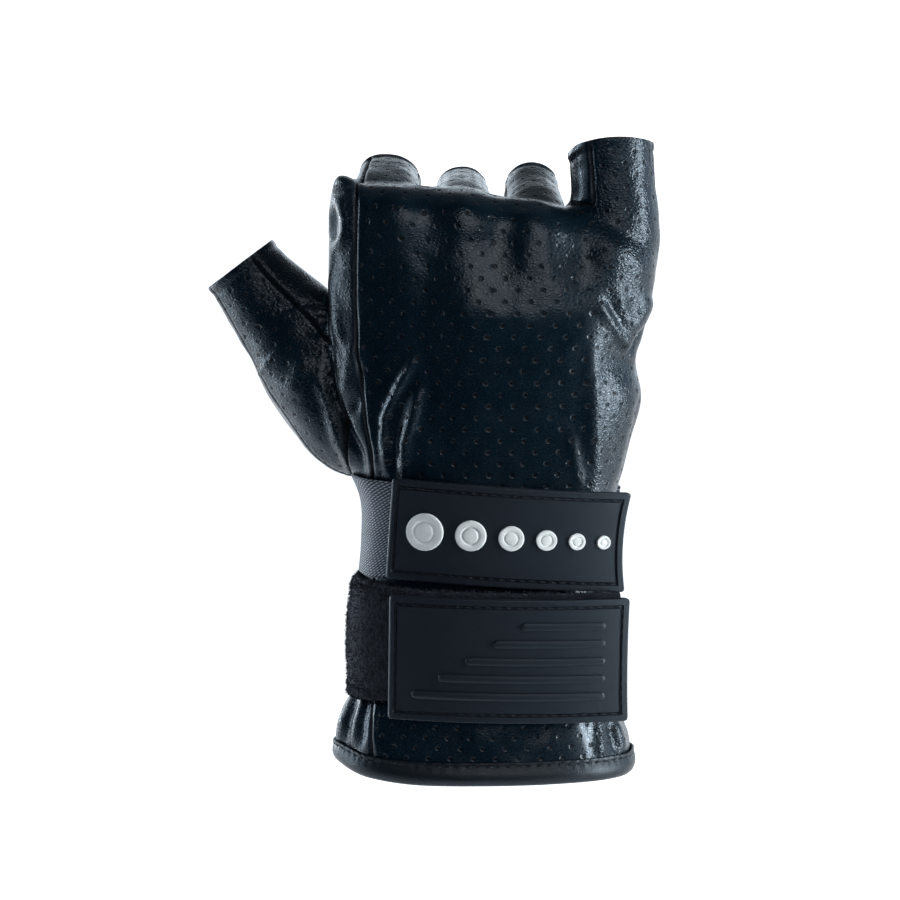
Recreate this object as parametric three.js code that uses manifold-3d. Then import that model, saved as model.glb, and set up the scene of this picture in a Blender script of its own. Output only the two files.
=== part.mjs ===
// A right-hand longboard slide glove, kept in the form that a hand gives it: thumb and little
// finger stretched out, the other three fingers bent forwards at the knuckles.
// Millimetres. +Z runs up from the cuff to the fingers, the back of the hand faces -Y, and the
// thumb points to -X. The origin is the middle of the cuff opening, where the arm goes in.

import * as THREE from "three";
import { mergeVertices } from "three/addons/utils/BufferGeometryUtils.js";
import Module from "manifold-3d";

// Leather hand
const cuffWidth = 87; // across the open edge of the cuff
const cuffDepth = 57;
const wristWidth = 73; // where the straps pull the leather in
const wristDepth = 47;
const palmWidth = 97; // across the knuckles
const palmDepth = 42;
const cuffLength = 92; // cuff edge to the wrist crease
const handLength = 86; // wrist crease to the knuckle ridge
const leather = 1.5;
const seamGap = 0.3; // between the cut edges of two neighbouring panels

// Digits
const indexWidth = 23.5;
const middleWidth = 20.5;
const ringWidth = 20.5;
const littleWidth = 26.2;
const indexLength = 40; // knuckle joint to the open end
const middleLength = 42;
const ringLength = 40;
const littleLength = 34;
const thumbWidth = 21.5; // at its open end
const thumbReach = 40; // how far the open end stands out from the wrist's thumb side

// Straps and patches
const upperStrapWidth = 27;
const upperStrapThickness = 1.6; // woven elastic
const upperTilt = -3.5; // degrees, down towards the little finger
const lowerStrapWidth = 33;
const lowerStrapThickness = 3; // brushed loop pile on webbing
const lowerStrapHeight = 43.8; // middle of the strap above the cuff edge
const strapGap = 3.7; // between the two straps, at the middle of the patches
const lowerTilt = -0.6;
const patchThickness = 2.2;
const patchLength = 71;
const upperPatchWidth = 29.5;
const lowerPatchWidth = 36.5;
const lowerPatchDrop = 3.2; // middle of the lower patch below the middle of its strap
const patchBend = 100; // radius that the moulded patches are curved to
const patchShift = 7.2; // middle of a patch, towards the little finger
const patchRim = 1.9; // patch edge to its stitch groove
const grooveWidth = 1.2;
const grooveDepth = 0.6;
const reliefHeight = 0.7;
const ribWidth = 2.4;
const dotWidth = 11; // largest dot of the upper patch
const clearance = 0.3; // between pieces that lie on each other

// Cuff binding
const bindingHeight = 6;
const bindingWall = 1.3;

const pointsRound = 36;
const fingerPoints = 12;
const thumbPoints = 14;
const beyond = 60; // how far cutting shapes reach past the glove

const wasm = await Module();
wasm.setup();

function solidOf(geometry) {
  const bare = geometry.index ? geometry.toNonIndexed() : geometry.clone();
  bare.deleteAttribute("normal");
  bare.deleteAttribute("uv");
  const merged = mergeVertices(bare, 1e-4);
  return new wasm.Manifold(
    new wasm.Mesh({
      numProp: 3,
      vertProperties: merged.attributes.position.array,
      triVerts: new Uint32Array(merged.index.array),
    }),
  );
}

function geometryOf(solid) {
  const mesh = solid.getMesh();
  const positions = new Float32Array(mesh.numVert * 3);
  for (let i = 0; i < mesh.numVert; i++) {
    const start = i * mesh.numProp;
    positions.set(mesh.vertProperties.subarray(start, start + 3), i * 3);
  }
  const geometry = new THREE.BufferGeometry();
  geometry.setAttribute("position", new THREE.BufferAttribute(positions, 3));
  geometry.setIndex(new THREE.BufferAttribute(mesh.triVerts, 1));
  geometry.computeVertexNormals();
  return geometry;
}

// A closed solid through rings of points, each ring with the same number of points.
function loft(rings) {
  const count = rings[0].length;
  const points = rings.flat();
  const faces = [];
  for (let r = 0; r + 1 < rings.length; r++) {
    for (let i = 0; i < count; i++) {
      const next = (i + 1) % count;
      const [a, b] = [r * count + i, r * count + next];
      faces.push(a, b, b + count, a, b + count, a + count);
    }
  }
  for (const [ring, turn] of [
    [0, -1],
    [rings.length - 1, 1],
  ]) {
    const middle = new THREE.Vector3();
    rings[ring].forEach((p) => middle.addScaledVector(p, 1 / count));
    points.push(middle);
    for (let i = 0; i < count; i++) {
      const [a, b] = [ring * count + i, ring * count + ((i + 1) % count)];
      faces.push(points.length - 1, turn > 0 ? a : b, turn > 0 ? b : a);
    }
  }
  return facing(points, faces);
}

// The solid of these faces, turned outwards if they face in.
function facing(points, faces) {
  const geometry = new THREE.BufferGeometry().setFromPoints(points);
  geometry.setIndex(faces);
  const solid = solidOf(geometry);
  if (solid.volume() > 0) return solid;
  const turned = faces.map((_, i) => faces[i - (i % 3) + [0, 2, 1][i % 3]]);
  geometry.setIndex(turned);
  return solidOf(geometry);
}

// The same for a ring of rings that closes on itself.
function closedLoft(rings) {
  const count = rings[0].length;
  const faces = [];
  for (let r = 0; r < rings.length; r++) {
    const across = ((r + 1) % rings.length) * count;
    for (let i = 0; i < count; i++) {
      const next = (i + 1) % count;
      const [a, b, c, d] = [r * count + i, r * count + next, across + next, across + i];
      faces.push(a, b, c, a, c, d);
    }
  }
  return facing(rings.flat(), faces);
}

// A smooth curve through one column of a table, read at a place on another.
function along(rows, place, column) {
  const curve = rows.map((row) => [row[place], row[column]]);
  return (at) => {
    let i = 0;
    while (i < curve.length - 2 && at > curve[i + 1][0]) i++;
    const [x0, y0] = curve[i];
    const [x1, y1] = curve[i + 1];
    const before = curve[Math.max(i - 1, 0)];
    const after = curve[Math.min(i + 2, curve.length - 1)];
    const slope0 = (y1 - before[1]) / (x1 - before[0]);
    const slope1 = (after[1] - y0) / (after[0] - x0);
    const t = Math.min(Math.max((at - x0) / (x1 - x0), 0), 1);
    const [t2, t3, span] = [t * t, t * t * t, x1 - x0];
    return (
      (2 * t3 - 3 * t2 + 1) * y0 +
      (t3 - 2 * t2 + t) * span * slope0 +
      (3 * t2 - 2 * t3) * y1 +
      (t3 - t2) * span * slope1
    );
  };
}

// Sections of the hand from the cuff up. rise is a share of the zone's length, thumb, little,
// back and palm are shares of its half width or half depth, and square is 2 for an oval.
const zones = {
  cuff: { base: 0, length: cuffLength, width: cuffWidth, depth: cuffDepth },
  wrist: { base: 0, length: cuffLength, width: wristWidth, depth: wristDepth },
  palm: { base: cuffLength, length: handLength, width: palmWidth, depth: palmDepth },
};
const handSections = [
  { zone: "cuff", rise: 0.0, thumb: 1.0, little: 1.02, back: 0.98, palm: 1.02, square: 2.5 },
  { zone: "cuff", rise: 0.1, thumb: 1.02, little: 1.03, back: 0.96, palm: 1.02, square: 2.5 },
  { zone: "cuff", rise: 0.22, thumb: 0.93, little: 0.93, back: 0.9, palm: 0.96, square: 2.5 },
  { zone: "wrist", rise: 0.33, thumb: 1.02, little: 1.04, back: 1.0, palm: 1.06, square: 2.5 },
  { zone: "wrist", rise: 0.5, thumb: 1.0, little: 1.03, back: 0.98, palm: 1.05, square: 2.5 },
  { zone: "wrist", rise: 0.66, thumb: 0.98, little: 1.03, back: 0.95, palm: 1.03, square: 2.5 },
  { zone: "wrist", rise: 0.8, thumb: 0.95, little: 1.04, back: 0.91, palm: 1.02, square: 2.5 },
  { zone: "wrist", rise: 0.94, thumb: 0.96, little: 1.09, back: 0.9, palm: 1.03, square: 2.5 },
  { zone: "palm", rise: 0.08, thumb: 0.83, little: 0.885, back: 0.98, palm: 1.22, square: 2.6 },
  { zone: "palm", rise: 0.18, thumb: 0.88, little: 0.94, back: 0.96, palm: 1.26, square: 2.7 },
  { zone: "palm", rise: 0.3, thumb: 0.92, little: 0.975, back: 0.95, palm: 1.24, square: 2.7 },
  { zone: "palm", rise: 0.42, thumb: 0.945, little: 0.935, back: 0.94, palm: 1.14, square: 2.7 },
  { zone: "palm", rise: 0.5, thumb: 0.95, little: 0.985, back: 0.95, palm: 1.04, square: 2.8 },
  { zone: "palm", rise: 0.62, thumb: 0.95, little: 1.035, back: 0.96, palm: 0.9, square: 2.8 },
  { zone: "palm", rise: 0.75, thumb: 0.95, little: 1.065, back: 0.97, palm: 0.76, square: 2.8 },
  { zone: "palm", rise: 0.86, thumb: 0.95, little: 1.05, back: 0.9, palm: 0.66, square: 2.8 },
  { zone: "palm", rise: 0.92, thumb: 0.92, little: 1.01, back: 0.77, palm: 0.58, square: 2.7 },
  { zone: "palm", rise: 0.965, thumb: 0.84, little: 0.9, back: 0.52, palm: 0.42, square: 2.6 },
].map((row) => {
  const zone = zones[row.zone];
  return {
    z: zone.base + row.rise * zone.length,
    left: (-row.thumb * zone.width) / 2,
    right: (row.little * zone.width) / 2,
    back: (row.back * zone.depth) / 2,
    palm: (row.palm * zone.depth) / 2,
    square: row.square,
  };
});
const handLine = Object.fromEntries(
  ["left", "right", "back", "palm", "square"].map((name) => [
    name,
    along(handSections, "z", name),
  ]),
);

// Raised and sunk places on the back of the hand: knuckles, the valleys between them, and the
// folds beside the little finger and over the wrist. across is a share of half the palm's
// width, rise a share of the hand's length, and the rest are in leather walls.
const backRelief = [
  { name: "index knuckle", across: -0.55, rise: 0.93, lift: 1.6, wide: 6.5, high: 6 },
  { name: "middle knuckle", across: -0.11, rise: 0.93, lift: 1.7, wide: 6, high: 7 },
  { name: "ring knuckle", across: 0.35, rise: 0.87, lift: 1.5, wide: 6, high: 7 },
  { name: "little knuckle", across: 0.82, rise: 0.79, lift: 1.4, wide: 6, high: 6 },
  { name: "index valley", across: -0.33, rise: 0.86, lift: -0.7, wide: 3.5, high: 8 },
  { name: "ring valley", across: 0.12, rise: 0.83, lift: -0.9, wide: 3.5, high: 8 },
  { name: "little valley", across: 0.58, rise: 0.78, lift: -1.0, wide: 3.5, high: 8 },
  { name: "side fold", across: 0.9, rise: 0.43, lift: -1.2, wide: 4, high: 2.6 },
  { name: "heel bulge", across: 0.78, rise: 0.3, lift: 0.8, wide: 5, high: 6 },
  { name: "thumb hollow", across: -0.58, rise: 0.34, lift: -1.0, wide: 3, high: 9 },
  { name: "thumb ridge", across: -0.44, rise: 0.2, lift: 0.9, wide: 2.5, high: 9 },
];
function reliefAt(x, z) {
  let lift = 0;
  for (const row of backRelief) {
    const [x0, z0] = [(row.across * palmWidth) / 2, cuffLength + row.rise * handLength];
    const away =
      ((x - x0) / (row.wide * leather)) ** 2 + ((z - z0) / (row.high * leather)) ** 2;
    lift += row.lift * leather * Math.exp(-away);
  }
  return lift;
}

// Gathers that the lower strap presses into the flared cuff, by the angle round the cuff in
// degrees, 180 on the thumb side. lift is in leather walls.
const cuffGathers = [
  { turn: 158, spread: 9, lift: 0.55 },
  { turn: 176, spread: 8, lift: -0.75 },
  { turn: 193, spread: 8, lift: 0.6 },
  { turn: 209, spread: 8, lift: -0.75 },
  { turn: 224, spread: 9, lift: 0.5 },
  { turn: 322, spread: 9, lift: -0.6 },
  { turn: 338, spread: 8, lift: 0.5 },
  { turn: 354, spread: 9, lift: -0.5 },
];
function gatherAt(turn, z) {
  const top = lowerStrapHeight - lowerStrapWidth / 2;
  const fade = Math.exp(-(((z - top * 0.62) / (top * 0.42)) ** 2));
  return cuffGathers.reduce((sum, row) => {
    const away = (turn - row.turn) / row.spread;
    return sum + row.lift * leather * fade * Math.exp(-away * away);
  }, 0);
}

const shaped = (value, square) => Math.sign(value) * Math.abs(value) ** (2 / square);

// A point of the hand's surface at a height and an angle, moved out by an offset. Angle 0 is
// the little finger's side and a quarter turn on is the palm.
function handPoint(z, angle, offset) {
  const [c, s] = [Math.cos(angle), Math.sin(angle)];
  const [left, right] = [handLine.left(z), handLine.right(z)];
  const square = handLine.square(z);
  const halfWidth = (right - left) / 2;
  const depth = s > 0 ? handLine.palm(z) : handLine.back(z);
  const turn = (THREE.MathUtils.radToDeg(angle) + 360) % 360;
  const gathered = offset + gatherAt(turn, z);
  const x = (left + right) / 2 + (halfWidth + gathered) * shaped(c, square);
  const y = (depth + gathered) * shaped(s, square);
  const onBack = THREE.MathUtils.smoothstep(-s, 0, 0.5);
  return new THREE.Vector3(x, y - onBack * reliefAt(x, z), z);
}

// The knuckle ridge falls towards the little finger and rises over each knuckle. across and wide
// are shares of half the palm's width, lift is in leather walls.
const ridgeSlope = 0.1;
const ridgeDrop = 0.05; // further fall at the little finger's side, a share of the hand's length
const knuckles = [
  { across: -0.6, wide: 0.2, lift: 1.1 },
  { across: -0.13, wide: 0.17, lift: 1.4 },
  { across: 0.33, wide: 0.15, lift: 1.5 },
  { across: 0.76, wide: 0.17, lift: 1.2 },
];
function ridgeAt(x) {
  const across = x / (palmWidth / 2);
  const fall = ridgeSlope * x + ridgeDrop * handLength * Math.max(across, 0) ** 2;
  return knuckles.reduce(
    (rise, row) =>
      rise + row.lift * leather * Math.exp(-(((across - row.across) / row.wide) ** 2)),
    -fall,
  );
}

// The cuff's edge rises at both sides. turn is the angle round the cuff in degrees, and rise is
// a share of the cuff's length.
const cuffEdge = [
  { turn: 0, rise: 0.045 },
  { turn: 60, rise: 0.01 },
  { turn: 90, rise: 0 },
  { turn: 150, rise: 0.04 },
  { turn: 190, rise: 0.09 },
  { turn: 222, rise: 0.035 },
  { turn: 250, rise: 0.02 },
  { turn: 300, rise: 0.03 },
  { turn: 330, rise: 0.035 },
  { turn: 360, rise: 0.045 },
];
const edgeRise = along(cuffEdge, "turn", "rise");
const edgeFade = 0.26 * cuffLength;

function leaned(point, turn, offset) {
  const top = THREE.MathUtils.smoothstep(
    point.z,
    cuffLength + 0.72 * handLength,
    cuffLength + 0.97 * handLength,
  );
  const low = Math.max(0, 1 - point.z / edgeFade);
  point.z += top * (ridgeAt(point.x) + offset) + low * edgeRise(turn) * cuffLength;
  return point;
}

const handRings = [
  ...[0, 0.1, 0.19, 0.29, 0.45, 0.62, 0.79, 0.92].map((s) => s * cuffLength),
  ...[0.04, 0.17, 0.3, 0.42, 0.54, 0.66, 0.77, 0.86, 0.92, 0.965].map(
    (s) => cuffLength + s * handLength,
  ),
];
const ringAt = (z, offset) =>
  Array.from({ length: pointsRound }, (_, i) =>
    leaned(
      handPoint(z, (i / pointsRound) * Math.PI * 2, offset),
      (i / pointsRound) * 360,
      offset,
    ),
  );

// The hand's body, either its outside or, with a negative offset, the hollow within.
function handBody(offset, openBelow) {
  const rings = handRings.map((z) => ringAt(z, offset));
  if (openBelow > 0) {
    const lip = rings[0].map((p) => p.clone().setZ(p.z - openBelow));
    rings.unshift(lip);
  }
  const top = rings[rings.length - 1];
  const middle = new THREE.Vector3();
  top.forEach((p) => middle.addScaledVector(p, 1 / top.length));
  const rise = 0.015 * handLength;
  rings.push(
    top.map((p) => {
      const inner = p.clone().lerp(middle, 0.4);
      return inner.setZ(p.z + (ridgeAt(inner.x) - ridgeAt(p.x)) * 0.8 + rise);
    }),
  );
  return loft(rings);
}

// Digits as tubes along a line of stations. back is the way that the back of the digit faces.
const knuckle = (across, deep, rise) =>
  new THREE.Vector3(
    (across * palmWidth) / 2,
    (deep * palmDepth) / 2,
    cuffLength + rise * handLength,
  );
const forwards = (lift, lean) => new THREE.Vector3(lean, 1, lift).normalize();
const upwards = new THREE.Vector3(-0.07, 0.05, 1).normalize();
const up = new THREE.Vector3(0, 0, 1);
const towardsBack = new THREE.Vector3(0, -1, 0);
const digits = {
  index: {
    from: knuckle(-0.6, -0.05, 0.885),
    way: forwards(0.27, 0.02),
    length: indexLength,
    width: indexWidth,
    back: up,
    bent: 1,
    tab: [-0.62, 0.9],
  },
  middle: {
    from: knuckle(-0.13, -0.05, 0.9),
    way: forwards(0.15, 0),
    length: middleLength,
    width: middleWidth,
    back: up,
    bent: 1,
  },
  ring: {
    from: knuckle(0.32, -0.05, 0.85),
    way: forwards(0.33, -0.01),
    length: ringLength,
    width: ringWidth,
    back: up,
    bent: 1,
  },
  little: {
    from: knuckle(0.828, 0.02, 0.77),
    way: upwards,
    length: littleLength,
    width: littleWidth,
    back: towardsBack,
    bent: 0,
  },
};
// share is of the digit's length from the knuckle, wide and deep of its width. A bent digit's
// first sections are lowered by sink widths and turned back by tilt degrees.
const digitSections = [
  { share: -0.16, wide: 0.9, deep: 0.9, sink: 0.34, tilt: 42 },
  { share: 0.09, wide: 0.98, deep: 0.98, sink: 0.05, tilt: 14 },
  { share: 0.35, wide: 1.0, deep: 1.0, sink: 0, tilt: 0 },
  { share: 0.7, wide: 0.96, deep: 0.95, sink: 0, tilt: 0 },
  { share: 1.0, wide: 1.0, deep: 0.95, sink: 0, tilt: 0 },
];
const straightRoot = { share: -0.42, wide: 0.56, deep: 0.6 };

// Rings of a tube: each station has a point, the way the tube runs there and two half sizes.
function tubeRings(stations, back, count, offset) {
  return stations.map(({ at, way, wide, deep }) => {
    const side = new THREE.Vector3().crossVectors(way, back).normalize();
    const top = new THREE.Vector3().crossVectors(side, way).normalize();
    return Array.from({ length: count }, (_, i) => {
      const angle = (i / count) * Math.PI * 2;
      return at
        .clone()
        .addScaledVector(side, (wide + offset) * shaped(Math.cos(angle), 2.2))
        .addScaledVector(top, (deep + offset) * shaped(Math.sin(angle), 2.2));
    });
  });
}
function digitStations(digit, past) {
  const rows = digitSections.map((row, i) => {
    if (digit.bent) return row;
    return { ...row, ...(i === 0 ? straightRoot : {}), sink: 0, tilt: 0 };
  });
  const side = new THREE.Vector3().crossVectors(digit.way, digit.back).normalize();
  const stations = rows.map((row) => ({
    at: digit.from
      .clone()
      .addScaledVector(digit.way, row.share * digit.length)
      .addScaledVector(digit.back, -row.sink * digit.width),
    way: digit.way.clone().applyAxisAngle(side, THREE.MathUtils.degToRad(row.tilt)),
    wide: (row.wide * digit.width) / 2,
    deep: (row.deep * digit.width) / 2,
  }));
  if (past > 0) {
    const end = stations[stations.length - 1];
    stations.push({ ...end, at: end.at.clone().addScaledVector(digit.way, past) });
  }
  return stations;
}

// The thumb leaves the wrist's thumb side and turns outwards. out is a share of the thumb's
// reach, rise of the hand's length, behind and the half sizes of the thumb's width.
const thumbSections = [
  { out: -0.14, rise: 0.155, behind: 0.3, wide: 0.54, deep: 0.6 },
  { out: 0.07, rise: 0.19, behind: 0.36, wide: 0.72, deep: 0.78 },
  { out: 0.23, rise: 0.26, behind: 0.44, wide: 0.78, deep: 0.82 },
  { out: 0.38, rise: 0.38, behind: 0.52, wide: 0.83, deep: 0.82 },
  { out: 0.53, rise: 0.488, behind: 0.58, wide: 0.78, deep: 0.76 },
  { out: 0.7, rise: 0.58, behind: 0.62, wide: 0.69, deep: 0.67 },
  { out: 0.85, rise: 0.665, behind: 0.63, wide: 0.6, deep: 0.6 },
  { out: 0.975, rise: 0.742, behind: 0.63, wide: 0.56, deep: 0.56 },
];
const thumbRoot = (-wristWidth / 2) * 0.94;
function thumbStations(past) {
  const points = thumbSections.map(
    (row) =>
      new THREE.Vector3(
        thumbRoot - row.out * thumbReach,
        row.behind * thumbWidth,
        cuffLength + row.rise * handLength,
      ),
  );
  const stations = thumbSections.map((row, i) => ({
    at: points[i],
    way: points[Math.min(i + 1, points.length - 1)]
      .clone()
      .sub(points[Math.max(i - 1, 0)])
      .normalize(),
    wide: row.wide * thumbWidth,
    deep: row.deep * thumbWidth,
  }));
  if (past > 0) {
    const end = stations[stations.length - 1];
    stations.push({ ...end, at: end.at.clone().addScaledVector(end.way, past) });
  }
  return stations;
}

const openPast = 8; // how far each hollow runs past the leather's open edge
function handSolid(offset, past) {
  let solid = handBody(offset, past);
  for (const digit of Object.values(digits)) {
    solid = solid.add(
      loft(tubeRings(digitStations(digit, past), digit.back, fingerPoints, offset)),
    );
  }
  return solid.add(
    loft(tubeRings(thumbStations(past), towardsBack, thumbPoints, offset)),
  );
}
const shell = handSolid(0, 0).subtract(handSolid(-leather, openPast));

// Cutting shapes. Each panel of the hand is the shell inside one of them, and grow is the seam
// gap that the panel next to it keeps.
function block(low, high) {
  const size = new THREE.Vector3().subVectors(high, low);
  const box = new THREE.BoxGeometry(size.x, size.y, size.z);
  const middle = new THREE.Vector3().addVectors(low, high).multiplyScalar(0.5);
  return solidOf(box.translate(middle.x, middle.y, middle.z));
}

// The back panel's seams: heights in zones, across as a share of half the palm's width on the
// thumb's side, and deep as a share of the palm's depth on the little finger's side.
const backSeam = [
  { zone: "cuff", rise: -0.3, across: -0.69, deep: 0.14 },
  { zone: "cuff", rise: 0.9, across: -0.67, deep: 0.14 },
  { zone: "palm", rise: 0.1, across: -0.685, deep: 0.14 },
  { zone: "palm", rise: 0.2, across: -0.715, deep: 0.14 },
  { zone: "palm", rise: 0.4, across: -0.755, deep: 0.14 },
  { zone: "palm", rise: 0.65, across: -0.78, deep: 0.08 },
  { zone: "palm", rise: 0.85, across: -0.775, deep: -0.04 },
  { zone: "palm", rise: 1.3, across: -0.76, deep: -0.06 },
].map((row) => ({
  z: zones[row.zone].base + row.rise * zones[row.zone].length,
  x: (row.across * palmWidth) / 2,
  y: row.deep * palmDepth,
}));
const seamX = along(backSeam, "z", "x");
const seamY = along(backSeam, "z", "y");
function backSlab(grow) {
  const rings = [];
  const [low, high] = [backSeam[0].z, backSeam[backSeam.length - 1].z + beyond];
  const steps = 12;
  for (let i = 0; i <= steps; i++) {
    const z = low + ((high - low) * i) / steps;
    const x = seamX(z) - grow;
    const y = seamY(z) + grow;
    rings.push([
      new THREE.Vector3(x, -beyond, z),
      new THREE.Vector3(palmWidth, -beyond, z),
      new THREE.Vector3(palmWidth, y, z),
      new THREE.Vector3(x, y, z),
    ]);
  }
  return loft(rings);
}

// A box along a digit. across and deep are from low to high, as shares of its half sizes.
function channel(stations, back, across, deep, grow) {
  const rings = stations.map(({ at, way, wide, deep: half }) => {
    const side = new THREE.Vector3().crossVectors(way, back).normalize();
    const top = new THREE.Vector3().crossVectors(side, way).normalize();
    const corner = (a, d) =>
      at.clone().addScaledVector(side, a).addScaledVector(top, d);
    const [a0, a1] = [across[0] * wide - grow, across[1] * wide + grow];
    const [d0, d1] = [deep[0] * half - grow, deep[1] * half + grow];
    return [corner(a0, d0), corner(a1, d0), corner(a1, d1), corner(a0, d1)];
  });
  return loft(rings);
}
const tabWide = [-0.9, 0.9]; // shares of a finger's half width between the tab's seams
const tabLow = 0.32; // share of its half depth where the tab's edges lie
const curled = [digits.index, digits.middle, digits.ring];
function backTabs(grow) {
  return curled
    .map((digit) =>
      channel(
        digitStations(digit, openPast),
        digit.back,
        digit.tab ?? tabWide,
        [tabLow, 1.6],
        grow,
      ),
    )
    .reduce((all, tab) => all.add(tab));
}

// The strip on the ring finger's side of the little finger, up from the crotch.
const littleStripEdge = 0.5; // share of the little finger's half width
const stripLow = cuffLength + 0.955 * handLength;
function littleStrip(grow) {
  const strip = channel(
    digitStations(digits.little, openPast),
    digits.little.back,
    [-1.15, -littleStripEdge],
    [-0.5, 1.4],
    grow,
  );
  const above = block(
    new THREE.Vector3(-beyond, -beyond, stripLow - grow),
    new THREE.Vector3(palmWidth, beyond, 2 * handLength + cuffLength),
  );
  return strip.intersect(above);
}

// The strips between two fingers, each folded round the crotch.
const stripInset = 0.4; // share of a finger's half width from its middle line
const crotch = -0.08 * palmDepth;
function betweenFingers(first, second, grow) {
  const end = (digit) => digit.from.clone().addScaledVector(digit.way, digit.length * 2);
  const low = Math.min(first.from.z, second.from.z) - 0.28 * first.width;
  return block(
    new THREE.Vector3(
      first.from.x + (stripInset * first.width) / 2 - grow,
      crotch - grow,
      low - grow,
    ),
    new THREE.Vector3(
      second.from.x - (stripInset * second.width) / 2 + grow,
      end(first).y,
      low + 2 * first.width,
    ),
  );
}
const strips = {
  index_middle_strip: (grow) => betweenFingers(digits.index, digits.middle, grow),
  middle_ring_strip: (grow) => betweenFingers(digits.middle, digits.ring, grow),
  ring_little_strip: (grow) =>
    betweenFingers(digits.ring, digits.little, grow).add(littleStrip(grow)),
};

// The thumb, out from the seam round its root.
const thumbSeamX = thumbRoot - 0.12 * thumbReach;
function thumbRegion(grow) {
  const tube = loft(
    tubeRings(thumbStations(openPast), towardsBack, thumbPoints, leather + grow),
  );
  const lean = 0.13;
  const side = new THREE.BoxGeometry(beyond, 3 * beyond, 6 * beyond);
  side.translate(-beyond / 2 + grow, 0, 0).rotateY(-Math.atan(lean));
  side.translate(thumbSeamX, 0, cuffLength);
  return tube.intersect(solidOf(side));
}
const thumbBackEdge = 0.42; // share of the half width where the inner seam runs
const thumbBack = (grow) =>
  channel(
    thumbStations(openPast),
    towardsBack,
    [-0.9, thumbBackEdge],
    [-0.12, 1.4],
    grow,
  );

// Keeps the one body that a panel is, without the crumbs that a cut can leave.
function largest(solid) {
  return solid.decompose().reduce((a, b) => (a.volume() > b.volume() ? a : b));
}
const allStrips = Object.values(strips)
  .map((strip) => strip(seamGap))
  .reduce((a, b) => a.add(b));
const back = (grow) => backSlab(grow).subtract(littleStrip(-grow)).add(backTabs(grow));
const rest = shell.subtract(back(seamGap));
const panels = {
  back_panel: shell.intersect(back(0)).subtract(thumbRegion(seamGap)),
  palm_panel: rest.subtract(allStrips).subtract(thumbRegion(seamGap)),
  thumb_back: shell.intersect(thumbRegion(0)).intersect(thumbBack(0)),
  thumb_front: shell.intersect(thumbRegion(0)).subtract(thumbBack(seamGap)),
};
for (const [name, strip] of Object.entries(strips)) {
  panels[name] = rest.intersect(strip(0));
}

// A point on the leather at a place round the hand, between the faceted rings, so that what
// lies on the leather keeps its clearance everywhere.
const ringCache = new Map();
function facetedRing(k, offset) {
  const key = `${k} ${offset}`;
  if (!ringCache.has(key)) ringCache.set(key, ringAt(handRings[k], offset));
  return ringCache.get(key);
}
function onLeather(z, place, offset) {
  let k = 0;
  while (k < handRings.length - 2 && z > handRings[k + 1]) k++;
  const share = (z - handRings[k]) / (handRings[k + 1] - handRings[k]);
  const at = (ring) => facetedRing(ring, offset)[place % pointsRound];
  return at(k).clone().lerp(at(k + 1), share);
}

// A strap runs from the little finger's side across the palm and round the thumb's side, and
// then lies under its patch.
const strapTurns = { from: 10, to: 220 }; // degrees round the wrist
const strapLift = 1.3; // off the leather where it runs up to the patch
const strapRows = [-0.5, 0, 0.5]; // across the strap, shares of its width
const patchSteps = 7;
const betweenMiddles = (lowerStrapWidth + upperStrapWidth) / 2 + strapGap;
const upperStrapHeight = lowerStrapHeight + betweenMiddles;
const straps = {
  upper: {
    height: upperStrapHeight,
    tilt: upperTilt,
    width: upperStrapWidth,
    thickness: upperStrapThickness,
    patchWidth: upperPatchWidth,
    patchHeight: upperStrapHeight,
  },
  lower: {
    height: lowerStrapHeight,
    tilt: lowerTilt,
    width: lowerStrapWidth,
    thickness: lowerStrapThickness,
    patchWidth: lowerPatchWidth,
    patchHeight: lowerStrapHeight - lowerPatchDrop,
  },
};
// The back of each patch: its middle keeps off the leather by the strap and a clearance on
// both of the strap's sides, all along the patch.
for (const strap of Object.values(straps)) {
  let y = 0;
  for (let turn = 180; turn <= 360; turn += 360 / pointsRound) {
    const place = Math.round((turn / 360) * pointsRound);
    for (const row of strapRows) {
      const at = onLeather(strap.patchHeight + row * strap.patchWidth, place, 0);
      const across = at.x - patchShift;
      if (Math.abs(across) > patchLength / 2 + 2) continue;
      const sag = patchBend - Math.sqrt(patchBend ** 2 - across ** 2);
      y = Math.min(y, at.y - sag);
    }
  }
  strap.patchBack = y - strap.thickness - 2.5 * clearance;
}

// A point on a patch: along its arc from the middle, up from its middle line, and out from its
// back.
function onPatch(strap, s, h, out) {
  const turn = s / patchBend;
  const radius = patchBend + out;
  const point = new THREE.Vector3(
    radius * Math.sin(turn),
    strap.patchBack + patchBend - radius * Math.cos(turn),
    h,
  );
  const tilt = new THREE.Vector3(0, 1, 0);
  point.applyAxisAngle(tilt, THREE.MathUtils.degToRad(-strap.tilt));
  return point.add(new THREE.Vector3(patchShift, 0, strap.patchHeight));
}

function strapSolid(strap) {
  const slope = Math.tan(THREE.MathUtils.degToRad(strap.tilt));
  const sections = [];
  const step = 360 / pointsRound;
  for (let turn = strapTurns.from; turn <= strapTurns.to + 0.1; turn += step) {
    const place = Math.round(turn / step);
    const middle = onLeather(strap.height, place, 0);
    const z = strap.height + slope * (middle.x - patchShift);
    const off = 1.2 * clearance + strapLift * THREE.MathUtils.smoothstep(turn, 190, 225);
    const face = (offset) =>
      strapRows.map((row) => onLeather(z + row * strap.width, place, offset));
    sections.push([...face(off), ...face(off + strap.thickness).reverse()]);
  }
  const drop = strap.patchHeight - strap.height;
  for (let i = 0; i <= patchSteps; i++) {
    const s = (i / patchSteps - 0.5) * (patchLength - 2 * patchRim);
    const face = (out) =>
      strapRows.map((row) => onPatch(strap, s, row * strap.width - drop, out));
    sections.push([
      ...face(-clearance - strap.thickness),
      ...face(-clearance).reverse(),
    ]);
  }
  return loft(sections);
}

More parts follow.
